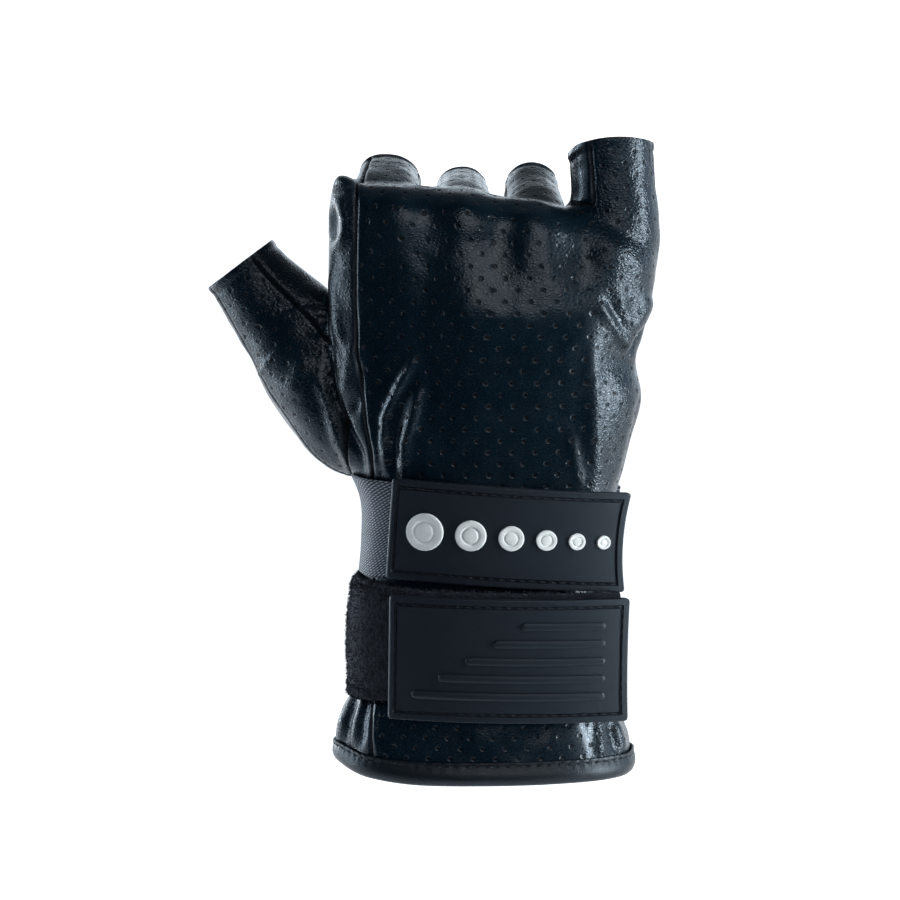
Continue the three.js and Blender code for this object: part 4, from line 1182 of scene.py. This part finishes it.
turns = np.linspace(0, 360, 300, endpoint=False)
low, outwards, upwards = cuff_frame(turns)
out, rise = binding_profile.T
pulled = pull * np.sin(turns * math.pi / 180 * pulls_round)[:, None] * (rise > 4)
shape = low[:, None] + outwards[:, None] * (out + pulled)[..., None] + upwards[:, None] * rise[:, None]
index = np.arange(shape.size // 3).reshape(shape.shape[:2])
binding_faces = four_cornered(np.pad(index, (0, 1), mode="wrap"))
binding = mesh_from("rolled_binding", shape.reshape(-1, 3), binding_faces)
mark(binding, "slack", np.full(len(binding.vertices), binding_slack))
binding_leather = leather_material(
    "binding_leather", (0.001, 0.0018, 0.003), (0.003, 0.0045, 0.0065), 1.1, 0.27,
    cells_per_mm=1.0, depth=0.05,
)
add_piece("rolled_binding", binding, [binding_leather], "cuff_binding")

# Waxed black thread, twisted from plies. Each stitch dips into the material at its ends.
stitch_length, stitch_pitch = 2.1, 3.0
binding_thread, patch_thread = 0.45, 0.42
thread_flat, thread_sides = 1.15, 7
# Place along a stitch as a share of its length, then width and height in thread thicknesses.
stitch_shape = [
    (-0.5, 0.35, -0.35), (-0.4, 0.8, 0.05), (-0.2, 1.0, 0.3), (0.2, 1.0, 0.3), (0.4, 0.8, 0.05),
    (0.5, 0.35, -0.35),
]
thread, tree, shader = new_material("waxed_thread", 0.55, 0.4)
plies = place(
    tree, "TexWave", {"Vector": on_object(tree), "Scale": 520.0, "Distortion": 1.5},
    bands_direction="DIAGONAL",
).outputs["Fac"]
colour = mixed(tree, plies, (0.001, 0.0013, 0.0018), (0.006, 0.007, 0.009))
finish(tree, shader, colour, bumped(tree, plies, 0.08, 0.7))


def add_stitches(name, path, outs, thick, slot):
    """A row of stitches along a path, as a piece of its own."""
    run = run_along(path)
    count = int(run[-1] // stitch_pitch)
    pitch = run[-1] / count
    angle = once_round(thread_sides)

    def on_line(line, at):
        return np.array([np.interp(at, run, column) for column in line.T])

    lengths = []
    for centre in (np.arange(count) + 0.5) * pitch:
        rings = []
        for along, wide, rise in stitch_shape:
            at = centre + along * stitch_length
            out = unit(on_line(outs, at))
            side = unit(np.cross(on_line(path, at + 0.2) - on_line(path, at - 0.2), out))
            circle = np.outer(np.cos(angle), side) * thread_flat + np.outer(np.sin(angle), out)
            rings.append(on_line(path, at) + out * rise * thick + circle * wide * thick / 2)
        lengths.append(rings)
    add_piece(name, mesh_from(name, *closed_tubes(lengths)), [thread])


low, outwards, upwards = cuff_frame(np.linspace(0, 360, 400) % 360)
seam_line = low + upwards * binding_seam[1] + outwards * binding_seam[0]
add_stitches("binding_stitches", seam_line, outwards, binding_thread, "binding_leather")

# Upper strap: a woven elastic band with a fine diagonal rib, sewn down at the little finger's
# side, drawn round the palm's heel and the thumb's side, and ending under the upper patch.
strap_clearance = 0.3
strap_off, strap_lift = 0.4, 1.3  # how far it lies off the leather, and lifts towards its patch
corner_before, corner_past, corner_rounds = 14, 3, 12
patch_length, patch_bend, patch_shift, patch_rim = 71.0, 100.0, 7.2, 1.9
patch_thickness = 2.2
straps = {
    "upper": dict(
        height=76.3, tilt=-3.5, width=29.5, thickness=1.6, patch=29.5, patch_height=77.5,
        under=26.5, shift=0.0, swell=0.0, edge=0.028,
    ),
    "lower": dict(
        height=44.9, tilt=-0.6, width=35.0, thickness=3.0, patch=36.5, patch_height=41.9,
        under=33.0, shift=3.2, swell=1.2, edge=0.085,
    ),
}
# Each patch's back lies clear of the leather and its strap, wherever that stands highest.
for strap in straps.values():
    highest = 0.0
    for row in (-0.5, 0.0, 0.5):
        ring = on_hand(strap["patch_height"] + row * strap["patch"], np.radians(np.arange(180, 361, 10)))
        across = ring[:, 0] - patch_shift
        near = np.abs(across) < patch_length / 2 + 2
        sag = patch_bend - np.sqrt(patch_bend**2 - across[near] ** 2)
        highest = min(highest, (ring[near, 1] - sag).min())
    strap["patch_back"] = highest - strap["thickness"] - 2.5 * strap_clearance


def on_patch(strap, s, h, out):
    """A point on a patch: along its curve, up from its middle line and out from its back."""
    s, h, out = np.broadcast_arrays(*(np.asarray(v, float) for v in (s, h, out)))
    turn, radius = s / patch_bend, patch_bend + out
    tilt = math.radians(-strap["tilt"])
    x, y = radius * np.sin(turn), strap["patch_back"] + patch_bend - radius * np.cos(turn)
    across = x * math.cos(tilt) + h * math.sin(tilt) + patch_shift
    return np.stack([across, y, -x * math.sin(tilt) + h * math.cos(tilt) + strap["patch_height"]], -1)


def strap_faces_along(strap, turns, patch_shares, rows):
    """Inner and outer face of a strap, station by station, over its rows."""
    inner, outer = [], []
    slope = math.tan(math.radians(strap["tilt"]))
    for turn in turns:
        middle = on_hand(strap["height"], math.radians(turn))
        z = strap["height"] + slope * (middle[0] - patch_shift) + rows * strap["width"]
        off = strap_off + strap_lift * eased(turn, 190, 225)
        off = off + strap["swell"] * (1 - 4 * rows**2) * eased(turn, 120, 165)
        inner.append(on_hand(z, math.radians(turn), off))
        outer.append(on_hand(z, math.radians(turn), off + strap["thickness"]))
    for share in patch_shares:
        s, h = share * (patch_length - 2 * patch_rim), rows * strap["under"] + strap["shift"]
        inner.append(on_patch(strap, s, h, -strap_clearance - strap["thickness"]))
        outer.append(on_patch(strap, s, h, -strap_clearance))
    return np.array(inner), np.array(outer)


def strap_band(name, strap):
    """The strap's closed band with rounded long edges, and its outer face."""
    to_edge = strap["edge"] * np.array([0, 0.08, 0.3, 0.65, 1])
    rows = np.unique(np.concatenate([np.linspace(-0.5, 0.5, 25), 0.5 - to_edge, to_edge - 0.5]))
    turns = np.arange(10, 221, 2.5)
    inner, outer = strap_faces_along(strap, turns, np.linspace(-0.5, 0.5, 28), rows)
    # The corner is taken out of the strap where it lifts off the leather towards its patch.
    first, last = len(turns) - corner_before, len(turns) + corner_past
    for face in (inner, outer):
        for _ in range(corner_rounds):
            beside = face[first - 1:last - 1] + face[first + 1:last + 1]
            face[first:last] = face[first:last] * 0.5 + beside * 0.25
    edge = np.clip((0.5 - np.abs(rows)) / strap["edge"], 0, 1)
    full = np.sqrt(1 - (1 - edge) ** 2)[None, :, None]
    middle, half = (inner + outer) / 2, (outer - inner) / 2 * full
    sections = np.concatenate([middle + half, (middle - half)[:, ::-1][:, 1:-1]], axis=1)
    across = np.concatenate([rows, rows[::-1][1:-1]]) * strap["width"]
    flat = np.stack(np.meshgrid(run_along(middle[:, len(rows) // 2]), across, indexing="ij"), -1)
    mesh = mesh_from(name, *closed_tubes([sections]))
    lay_out(mesh, flat, at_points=True)
    return mesh, middle + half, sections


# Woven elastic: rubber cords along the band under a fine diagonal twill.
elastic, tree, shader = new_material("woven_elastic", 0.62, 0.35)
shader.inputs["Sheen Weight"].default_value = 0.25
shader.inputs["Sheen Roughness"].default_value = 0.5
sheet = on_sheet(tree)
spin = place(
    tree, "VectorRotate", {"Vector": sheet, "Angle": math.radians(58)}, rotation_type="Z_AXIS"
).outputs[0]
twill = place(
    tree, "TexWave", {"Vector": spin, "Scale": 0.4, "Distortion": 0.5, "Detail": 1.0, "Detail Scale": 3.0}
).outputs["Fac"]
picks = place(
    tree, "TexWave", {"Vector": sheet, "Scale": 0.44, "Distortion": 0.6, "Detail": 1.0, "Detail Scale": 3.0},
    bands_direction="Y",
).outputs["Fac"]
picks = math_node(tree, "MULTIPLY_ADD", ramp_node(tree, picks, 0.2, 0.7), 0.75, 0.25)
weave = math_node(tree, "MULTIPLY", ramp_node(tree, twill, 0.4, 0.8), picks)
fluff = math_node(tree, "MULTIPLY_ADD", noise_node(tree, sheet, 2.2, 3.0), 0.8, 0.55)
colour = mixed(tree, math_node(tree, "MULTIPLY", weave, fluff), (0.003, 0.004, 0.0055), (0.42, 0.47, 0.56))
finish(tree, shader, colour, bumped(tree, weave, 0.3))
band, _, _ = strap_band("elastic_strap", straps["upper"])
add_piece("elastic_strap", band, [elastic], "upper_strap")

# Lower strap: wide webbing faced with brushed loop pile, which the hooked back of the patch
# grips. It is thick and soft, with its fibres standing off at every edge.
pile, tree, shader = new_material("brushed_loop_pile", 0.95, 0.15)
shader.inputs["Sheen Weight"].default_value = 0.35
shader.inputs["Sheen Roughness"].default_value = 0.45
shader.inputs["Sheen Tint"].default_value = (0.6, 0.65, 0.75, 1)
tuft = noise_node(tree, on_object(tree), 900.0, 3.0, 0.65)
clump = noise_node(tree, on_object(tree), 260.0)
tone = math_node(tree, "MULTIPLY", ramp_node(tree, tuft, 0.3, 0.7), ramp_node(tree, clump, 0.2, 0.75))
colour = mixed(tree, tone, (0.004, 0.0048, 0.0065), (0.02, 0.023, 0.031))
finish(tree, shader, colour, bumped(tree, math_node(tree, "ADD", tuft, clump), 0.5))
band, face, sections = strap_band("loop_strap_base", straps["lower"])
add_piece("loop_strap_base", band, [pile], "lower_strap")

# The fibres: short bent hairs, rooted all over the outer face up to the patch and along the two
# long edges, with more of them on the edges.
rng = np.random.default_rng(7)
fibre_count, upper_count, lower_count = 15000, 2600, 1600
upper_edge, lower_edge = slice(0, upper_count), slice(upper_count, upper_count + lower_count)
edge_band, under_patch, just_inside = 0.015, 27, 1.001  # the patch covers the last stations
edge_starts, edge_wide, edge_turn = 0.44, 0.06, 0.75
hair_lean, hair_bend, tip_out = 0.55, 0.7, 0.25
shortest_hair, longest_hair, knee_share = 0.5, 1.15, 0.6
thinnest, thickest, taper, root_depth = 0.07, 0.12, 0.8, 0.2
stations, rows = face.shape[:2]
u = rng.random(fibre_count) * (stations - under_patch)
v = rng.random(fibre_count) * (rows - 1)
u[upper_edge] = rng.random(upper_count) * (stations - just_inside)
v[upper_edge] = (rows - just_inside) * (1 - edge_band + edge_band * rng.random(upper_count))
v[lower_edge] = (rows - just_inside) * (edge_band * rng.random(lower_count))
i, j = np.minimum(u.astype(int), stations - 2), np.minimum(v.astype(int), rows - 2)
a, b = (u - i)[:, None], (v - j)[:, None]
root = (face[i, j] * (1 - a) * (1 - b) + face[i + 1, j] * a * (1 - b)
        + face[i, j + 1] * (1 - a) * b + face[i + 1, j + 1] * a * b)
across_way = face[i, j + 1] - face[i, j]
out_way = unit(np.cross(face[i + 1, j] - face[i, j], across_way))
out_way[((root - sections.mean(1)[i]) * out_way).sum(1) < 0] *= -1
off_middle = (v / (rows - 1) - 0.5)[:, None]
edge_share = np.clip((np.abs(off_middle) - edge_starts) / edge_wide, 0, 1)
out_way = out_way * (1 - edge_turn * edge_share) + unit(across_way) * np.sign(off_middle) * edge_share
lean = rng.normal(0, hair_lean, (fibre_count, 3))
first_way = unit(out_way + lean)
second_way = unit(out_way * tip_out + lean + rng.normal(0, hair_bend, (fibre_count, 3)))
half_length = rng.uniform(shortest_hair, longest_hair, (fibre_count, 1)) * knee_share
knee = root + first_way * half_length
side = unit(np.cross(first_way, rng.normal(0, 1, (fibre_count, 3))))
other = np.cross(first_way, side)
thick = rng.uniform(thinnest, thickest, (fibre_count, 1))
round_hair = [(side * math.cos(t) + other * math.sin(t)) * thick for t in np.radians([0, 120, 240])]
hair = [root - first_way * root_depth + ring for ring in round_hair]
hair += [knee + ring * taper for ring in round_hair]
points = np.stack([*hair, knee + second_way * half_length], 1).reshape(-1, 3)
hair_faces = np.array([
    (0, 2, 1), (0, 1, 4), (0, 4, 3), (1, 2, 5), (1, 5, 4), (2, 0, 3), (2, 3, 5), (3, 4, 6),
    (4, 5, 6), (5, 3, 6),
])
hair_faces = (hair_faces + np.arange(fibre_count)[:, None, None] * 7).reshape(-1, 3)
fibre, tree, shader = new_material("pile_fibre", 0.8, 0.25)
clump = ramp_node(tree, noise_node(tree, on_object(tree), 420.0), 0.3, 0.7)
colour = mixed(tree, clump, (0.005, 0.006, 0.0085), (0.032, 0.037, 0.05))
tree.links.new(colour, shader.inputs["Base Color"])
hairs = mesh_from("loop_pile_fibres", points, hair_faces)
add_piece("loop_pile_fibres", hairs, [fibre], sharp=80)

# Patches: two curved plates moulded in satin black rubber, stitched to the straps' ends through
# a groove all round. The upper one has a row of raised off-white dots, larger at the thumb's
# side; the lower one raised black ribs that end in one line and get longer towards the foot.
groove_width, groove_depth = 1.0, 0.55
edge_bevel, patch_corner = 0.4, 1.2
roll_width, roll_depth = 1.25, 1.1
plate_border, plate_grid = 4.6, 1.3
ripple_turn, ripple_start = 2.2, 0.6
groove_round, thread_lift = 0.6, 0.1
relief_sunk = -0.3  # the relief starts this far below the plate's face


def plate_lines(half):
    """The grid lines across a plate, closer together at its rounded edge and its groove."""
    fine = np.array([0, 0.03, 0.1, 0.22, 0.4, 0.6, 0.85, 1.2, 1.85, 1.95, 2.1, 2.4, 2.7, 2.85, 2.95, 3.6])
    middle = np.linspace(-(half - plate_border), half - plate_border, int(2 * half / plate_grid))
    return np.concatenate([-half + fine, middle, (half - fine)[::-1]])


def patch_mesh(name, strap, wave, concave, relief):
    """A patch with rounded edges and corners, a groove for the stitches and raised relief."""
    half, high = patch_length / 2, strap["patch"] / 2
    s, h = np.meshgrid(plate_lines(half), plate_lines(high), indexing="ij")
    inset = np.minimum(half - np.abs(s), high - np.abs(h))
    cs, ch = np.abs(s) - (half - patch_corner), np.abs(h) - (high - patch_corner)
    in_corner = (cs > 0) & (ch > 0)
    shrink = np.maximum(np.maximum(cs, ch), 1e-9) / np.maximum(np.hypot(cs, ch), 1e-9)
    s = np.where(in_corner, np.sign(s) * (half - patch_corner + cs * shrink), s)
    h = np.where(in_corner, np.sign(h) * (high - patch_corner + ch * shrink), h)
    top = np.full(s.shape, patch_thickness)
    for inwards, width, depth in ((inset, edge_bevel, edge_bevel), (half + s, roll_width, roll_depth)):
        top -= depth * (1 - np.sqrt(1 - np.clip(1 - inwards / width, 0, 1) ** 2))
    in_groove = np.clip((inset - patch_rim) / groove_width, 0, 1)
    top -= groove_depth * np.sin(np.pi * in_groove) ** groove_round
    s = s - np.where(s > 0, concave * (s / half) * (1 - (h / high) ** 2), 0)
    ripple = wave * np.sin(s / half * ripple_turn + ripple_start) * (h / high) * 0.5
    index = np.arange(s.size).reshape(s.shape)
    quads = four_cornered(index)[:, [0, 3, 2, 1]]
    loop = np.concatenate([index[:, 0], index[-1, 1:], index[::-1, -1][1:], index[0, ::-1][1:-1]])
    following = np.roll(loop, -1)
    walls = np.stack([following, loop, loop + s.size, following + s.size], -1)
    plate = np.concatenate([quads, quads[:, ::-1] + s.size, walls]).tolist()
    relief_points, relief_faces = closed_tubes(relief)
    faces = plate + [[k + 2 * s.size for k in face] for face in relief_faces]
    mesh = mesh_from(name, np.concatenate([
        on_patch(strap, s, h, top + ripple).reshape(-1, 3),
        on_patch(strap, s, h, ripple).reshape(-1, 3),
        relief_points,
    ]), faces)
    flat = np.tile(np.stack([s.ravel(), h.ravel()], -1), (2, 1))
    flat = np.vstack([flat, np.zeros((len(relief_points), 2))])
    lay_out(mesh, flat, at_points=True)
    raised = np.arange(len(faces)) >= len(plate)
    mesh.polygons.foreach_set("material_index", raised.astype(np.int32))
    return mesh


def groove_path(strap):
    """The middle of the groove, once round the patch, and the way out there."""
    half = patch_length / 2 - patch_rim - groove_width / 2
    high = strap["patch"] / 2 - patch_rim - groove_width / 2
    corners = [(-half, -high), (half, -high), (half, high), (-half, high), (-half, -high)]
    sides = [np.linspace(p, q, 60, endpoint=False) for p, q in zip(corners, corners[1:])]
    s, h = np.concatenate([*sides, corners[:1]]).T
    level = patch_thickness - groove_depth + thread_lift
    path = on_patch(strap, s, h, level)
    return path, on_patch(strap, s, h, level + 1) - path


# Satin rubber with the faint brushed lines of its mould.
rubber, tree, shader = new_material("moulded_rubber", 0.47, 0.5)
sheet = on_sheet(tree)
lines = noise_node(tree, vector_node(tree, "MULTIPLY", sheet, (6.0, 0.25, 1.0)), 1.0, 3.0)
cross_lines = noise_node(tree, vector_node(tree, "MULTIPLY", sheet, (0.3, 5.0, 1.0)), 1.0)
brushed = math_node(tree, "MULTIPLY_ADD", cross_lines, 0.5, lines)
tone = math_node(tree, "MULTIPLY", brushed, 0.35)
tone = math_node(tree, "MULTIPLY_ADD", noise_node(tree, sheet, 0.06, 3.0), 0.6, tone)
colour = mixed(tree, tone, (0.0035, 0.0055, 0.0085), (0.009, 0.012, 0.017))
rough = math_node(tree, "MULTIPLY_ADD", brushed, 0.16, 0.36)
finish(tree, shader, colour, bumped(tree, brushed, 0.05, 0.6), rough)

# Off-white rubber, moulded into the black, with a little dirt.
pale_rubber, tree, shader = new_material("off_white_rubber", 0.5, 0.45)
dirt = noise_node(tree, on_object(tree), 330.0, 4.0, 0.7)
colour = mixed(tree, ramp_node(tree, dirt, 0.35, 0.75), (0.92, 0.93, 0.9), (0.74, 0.76, 0.74))
rough = math_node(tree, "MULTIPLY_ADD", dirt, 0.2, 0.4)
finish(tree, shader, colour, bumped(tree, dirt, 0.06, 0.4), rough)

# The dots: share of the radius and height, from the outside in, and each dot's share of the
# largest one's width.
dot_profile = [
    (1.0, relief_sunk), (1.0, 0.42), (0.985, 0.58), (0.95, 0.68), (0.9, 0.7), (0.66, 0.7),
    (0.63, 0.66), (0.6, 0.5), (0.57, 0.38), (0.53, 0.36), (0.49, 0.4), (0.46, 0.55),
    (0.43, 0.67), (0.39, 0.7), (0.1, 0.72),
]
dot_sizes, dot_width, dot_gap = [1, 0.82, 0.67, 0.55, 0.45, 0.37], 11.0, 3.4
circle = once_round(48)
dots = []
start = -(sum(size * dot_width + dot_gap for size in dot_sizes) - dot_gap) / 2
for size in dot_sizes:
    radius = size * dot_width / 2
    middle = start + radius
    start += 2 * radius + dot_gap
    dots.append([
        on_patch(
            straps["upper"], middle + share * radius * np.cos(circle), share * radius * np.sin(circle),
            patch_thickness + rise,
        )
        for share, rise in dot_profile
    ])

# The ribs, from the foot up, with rounded tops and ends.
rib_lengths, rib_pitch, rib_width, rib_height = [1, 0.86, 0.72, 0.58, 0.44], 5.2, 2.4, 0.7
rib_round, rib_end_round, beside_ribs = 0.55, 0.6, 9
longest = patch_length - 2 * (patch_rim + groove_width) - beside_ribs
arch = once_round(20)
over, end = np.sin(arch) > 0, rib_width / 2
round_end = end * (1 - np.cos(np.linspace(0.15, np.pi / 2, 6)))
ribs = []
for k, share in enumerate(rib_lengths):
    h = (k - (len(rib_lengths) - 1) / 2) * rib_pitch
    low_end, high_end = longest * (0.5 - share), longest / 2
    straight = np.linspace(low_end + end, high_end - end, 26)[1:-1]
    rings = []
    for s in np.concatenate([low_end + round_end, straight, high_end - round_end[::-1]]):
        full = math.sqrt(1 - max(0.0, 1 - min(s - low_end, high_end - s) / end) ** 2)
        rise = np.full(len(arch), relief_sunk)
        rise[over] = rib_height * full**rib_end_round * np.sin(arch[over]) ** rib_round
        rings.append(on_patch(straps["lower"], s, h + end * full * np.cos(arch), patch_thickness + rise))
    ribs.append(rings)

# Each plate's waviness, and how far the middle of its end curves in.
for side, wave, concave, relief, raised in (
    ("upper", 0.5, 1.6, dots, pale_rubber), ("lower", 0.3, 0.4, ribs, rubber),
):
    plate = patch_mesh(side + "_rubber_patch", straps[side], wave, concave, relief)
    add_piece(side + "_rubber_patch", plate, [rubber, raised], side + "_patch", 35)
    add_stitches(side + "_patch_stitches", *groove_path(straps[side]), patch_thread, "moulded_rubber")

# Studio: a white table lit from below, running away under a white wall that stands behind the
# glove and round its sides, with the room near dark in front.
floor_level = -0.16
floor_mesh = bpy.data.meshes.new("floor")
floor_corners = [(-9, -0.3), (9, -0.3), (9, 14), (-9, 14)]
floor_mesh.from_pydata([(x, y, floor_level) for x, y in floor_corners], [], [range(4)])
floor = new_object("floor", floor_mesh)
pale, tree, shader = new_material("pale_floor", 0.8, 0.2)
shader.inputs["Base Color"].default_value = (0.95, 0.95, 0.95, 1)
shader.inputs["Emission Color"].default_value = (0.97, 0.98, 1, 1)
away = place(tree, "SeparateXYZ", (on_object(tree),)).outputs[1]
glow = ramp_node(tree, away, -0.2, 0.5, 0.12, 0.95)
seen_by = place(tree, "LightPath").outputs["Is Camera Ray"]
tree.links.new(math_node(tree, "MAXIMUM", glow, seen_by), shader.inputs["Emission Strength"])
floor_mesh.materials.append(pale)

world = bpy.data.worlds.new("studio")
scene.world = world
world.use_nodes = True
tree = world.node_tree
way = place(tree, "SeparateXYZ", (place(tree, "TexCoord").outputs["Generated"],)).outputs
behind = ramp_node(tree, way[1], -0.3, 0.75)
below_ceiling = ramp_node(tree, way[2], 0.2, 0.5, 1.0, 0.07)
strength = math_node(tree, "MULTIPLY_ADD", math_node(tree, "MULTIPLY", behind, below_ceiling), 1.7, 0.06)
seen_by = place(tree, "LightPath").outputs["Is Camera Ray"]
tint = mixed(tree, behind, (0.12, 0.52, 1.0), (0.8, 0.91, 1.0))
background = tree.nodes["Background"]
tree.links.new(mixed(tree, seen_by, tint, (1, 1, 1)), background.inputs["Color"])
tree.links.new(math_node(tree, "MAXIMUM", strength, seen_by), background.inputs["Strength"])
scene.view_settings.view_transform = "Standard"

# The soft box that the knuckles mirror, then a pale box and a narrow bright strip far round on
# either side, and a small light behind that catches the thumb's edge: place, aim, width, height,
# power and colour.
lights = {
    "soft_box": ((0.232, -1.306, 0.894), (0.01, -0.02, 0.155), 0.64, 1.1, 4.2, (1.0, 0.94, 0.92)),
    "side_box": ((0.82, -0.475, 0.08), (0.0, 0.0, 0.13), 0.8, 1.2, 1.4, (0.88, 0.95, 1.0)),
    "side_strip": ((0.86, -0.31, 0.1), (0.0, 0.0, 0.12), 0.2, 1.0, 14.0, (0.9, 0.96, 1.0)),
    "side_box_left": ((-0.92, -0.05, 0.2), (-0.04, 0.0, 0.13), 0.5, 0.9, 0.5, (0.8, 0.91, 1.0)),
    "side_strip_left": ((-0.9, 0.14, 0.2), (-0.04, 0.0, 0.13), 0.1, 0.9, 3.4, (0.8, 0.91, 1.0)),
    "rim_light_left": ((-0.7, 0.62, 0.12), (-0.04, 0.0, 0.17), 0.35, 0.25, 2.5, (0.9, 0.95, 1.0)),
}
for name, (at, towards, wide, tall, power, colour) in lights.items():
    light = bpy.data.lights.new(name, "AREA")
    light.shape, light.size, light.size_y, light.energy = "RECTANGLE", wide, tall, power
    light.color = colour
    lamp = new_object(name, light)
    lamp.location = at
    lamp.rotation_euler = (Vector(towards) - Vector(at)).to_track_quat("-Z", "Y").to_euler()
    lamp.visible_camera = False
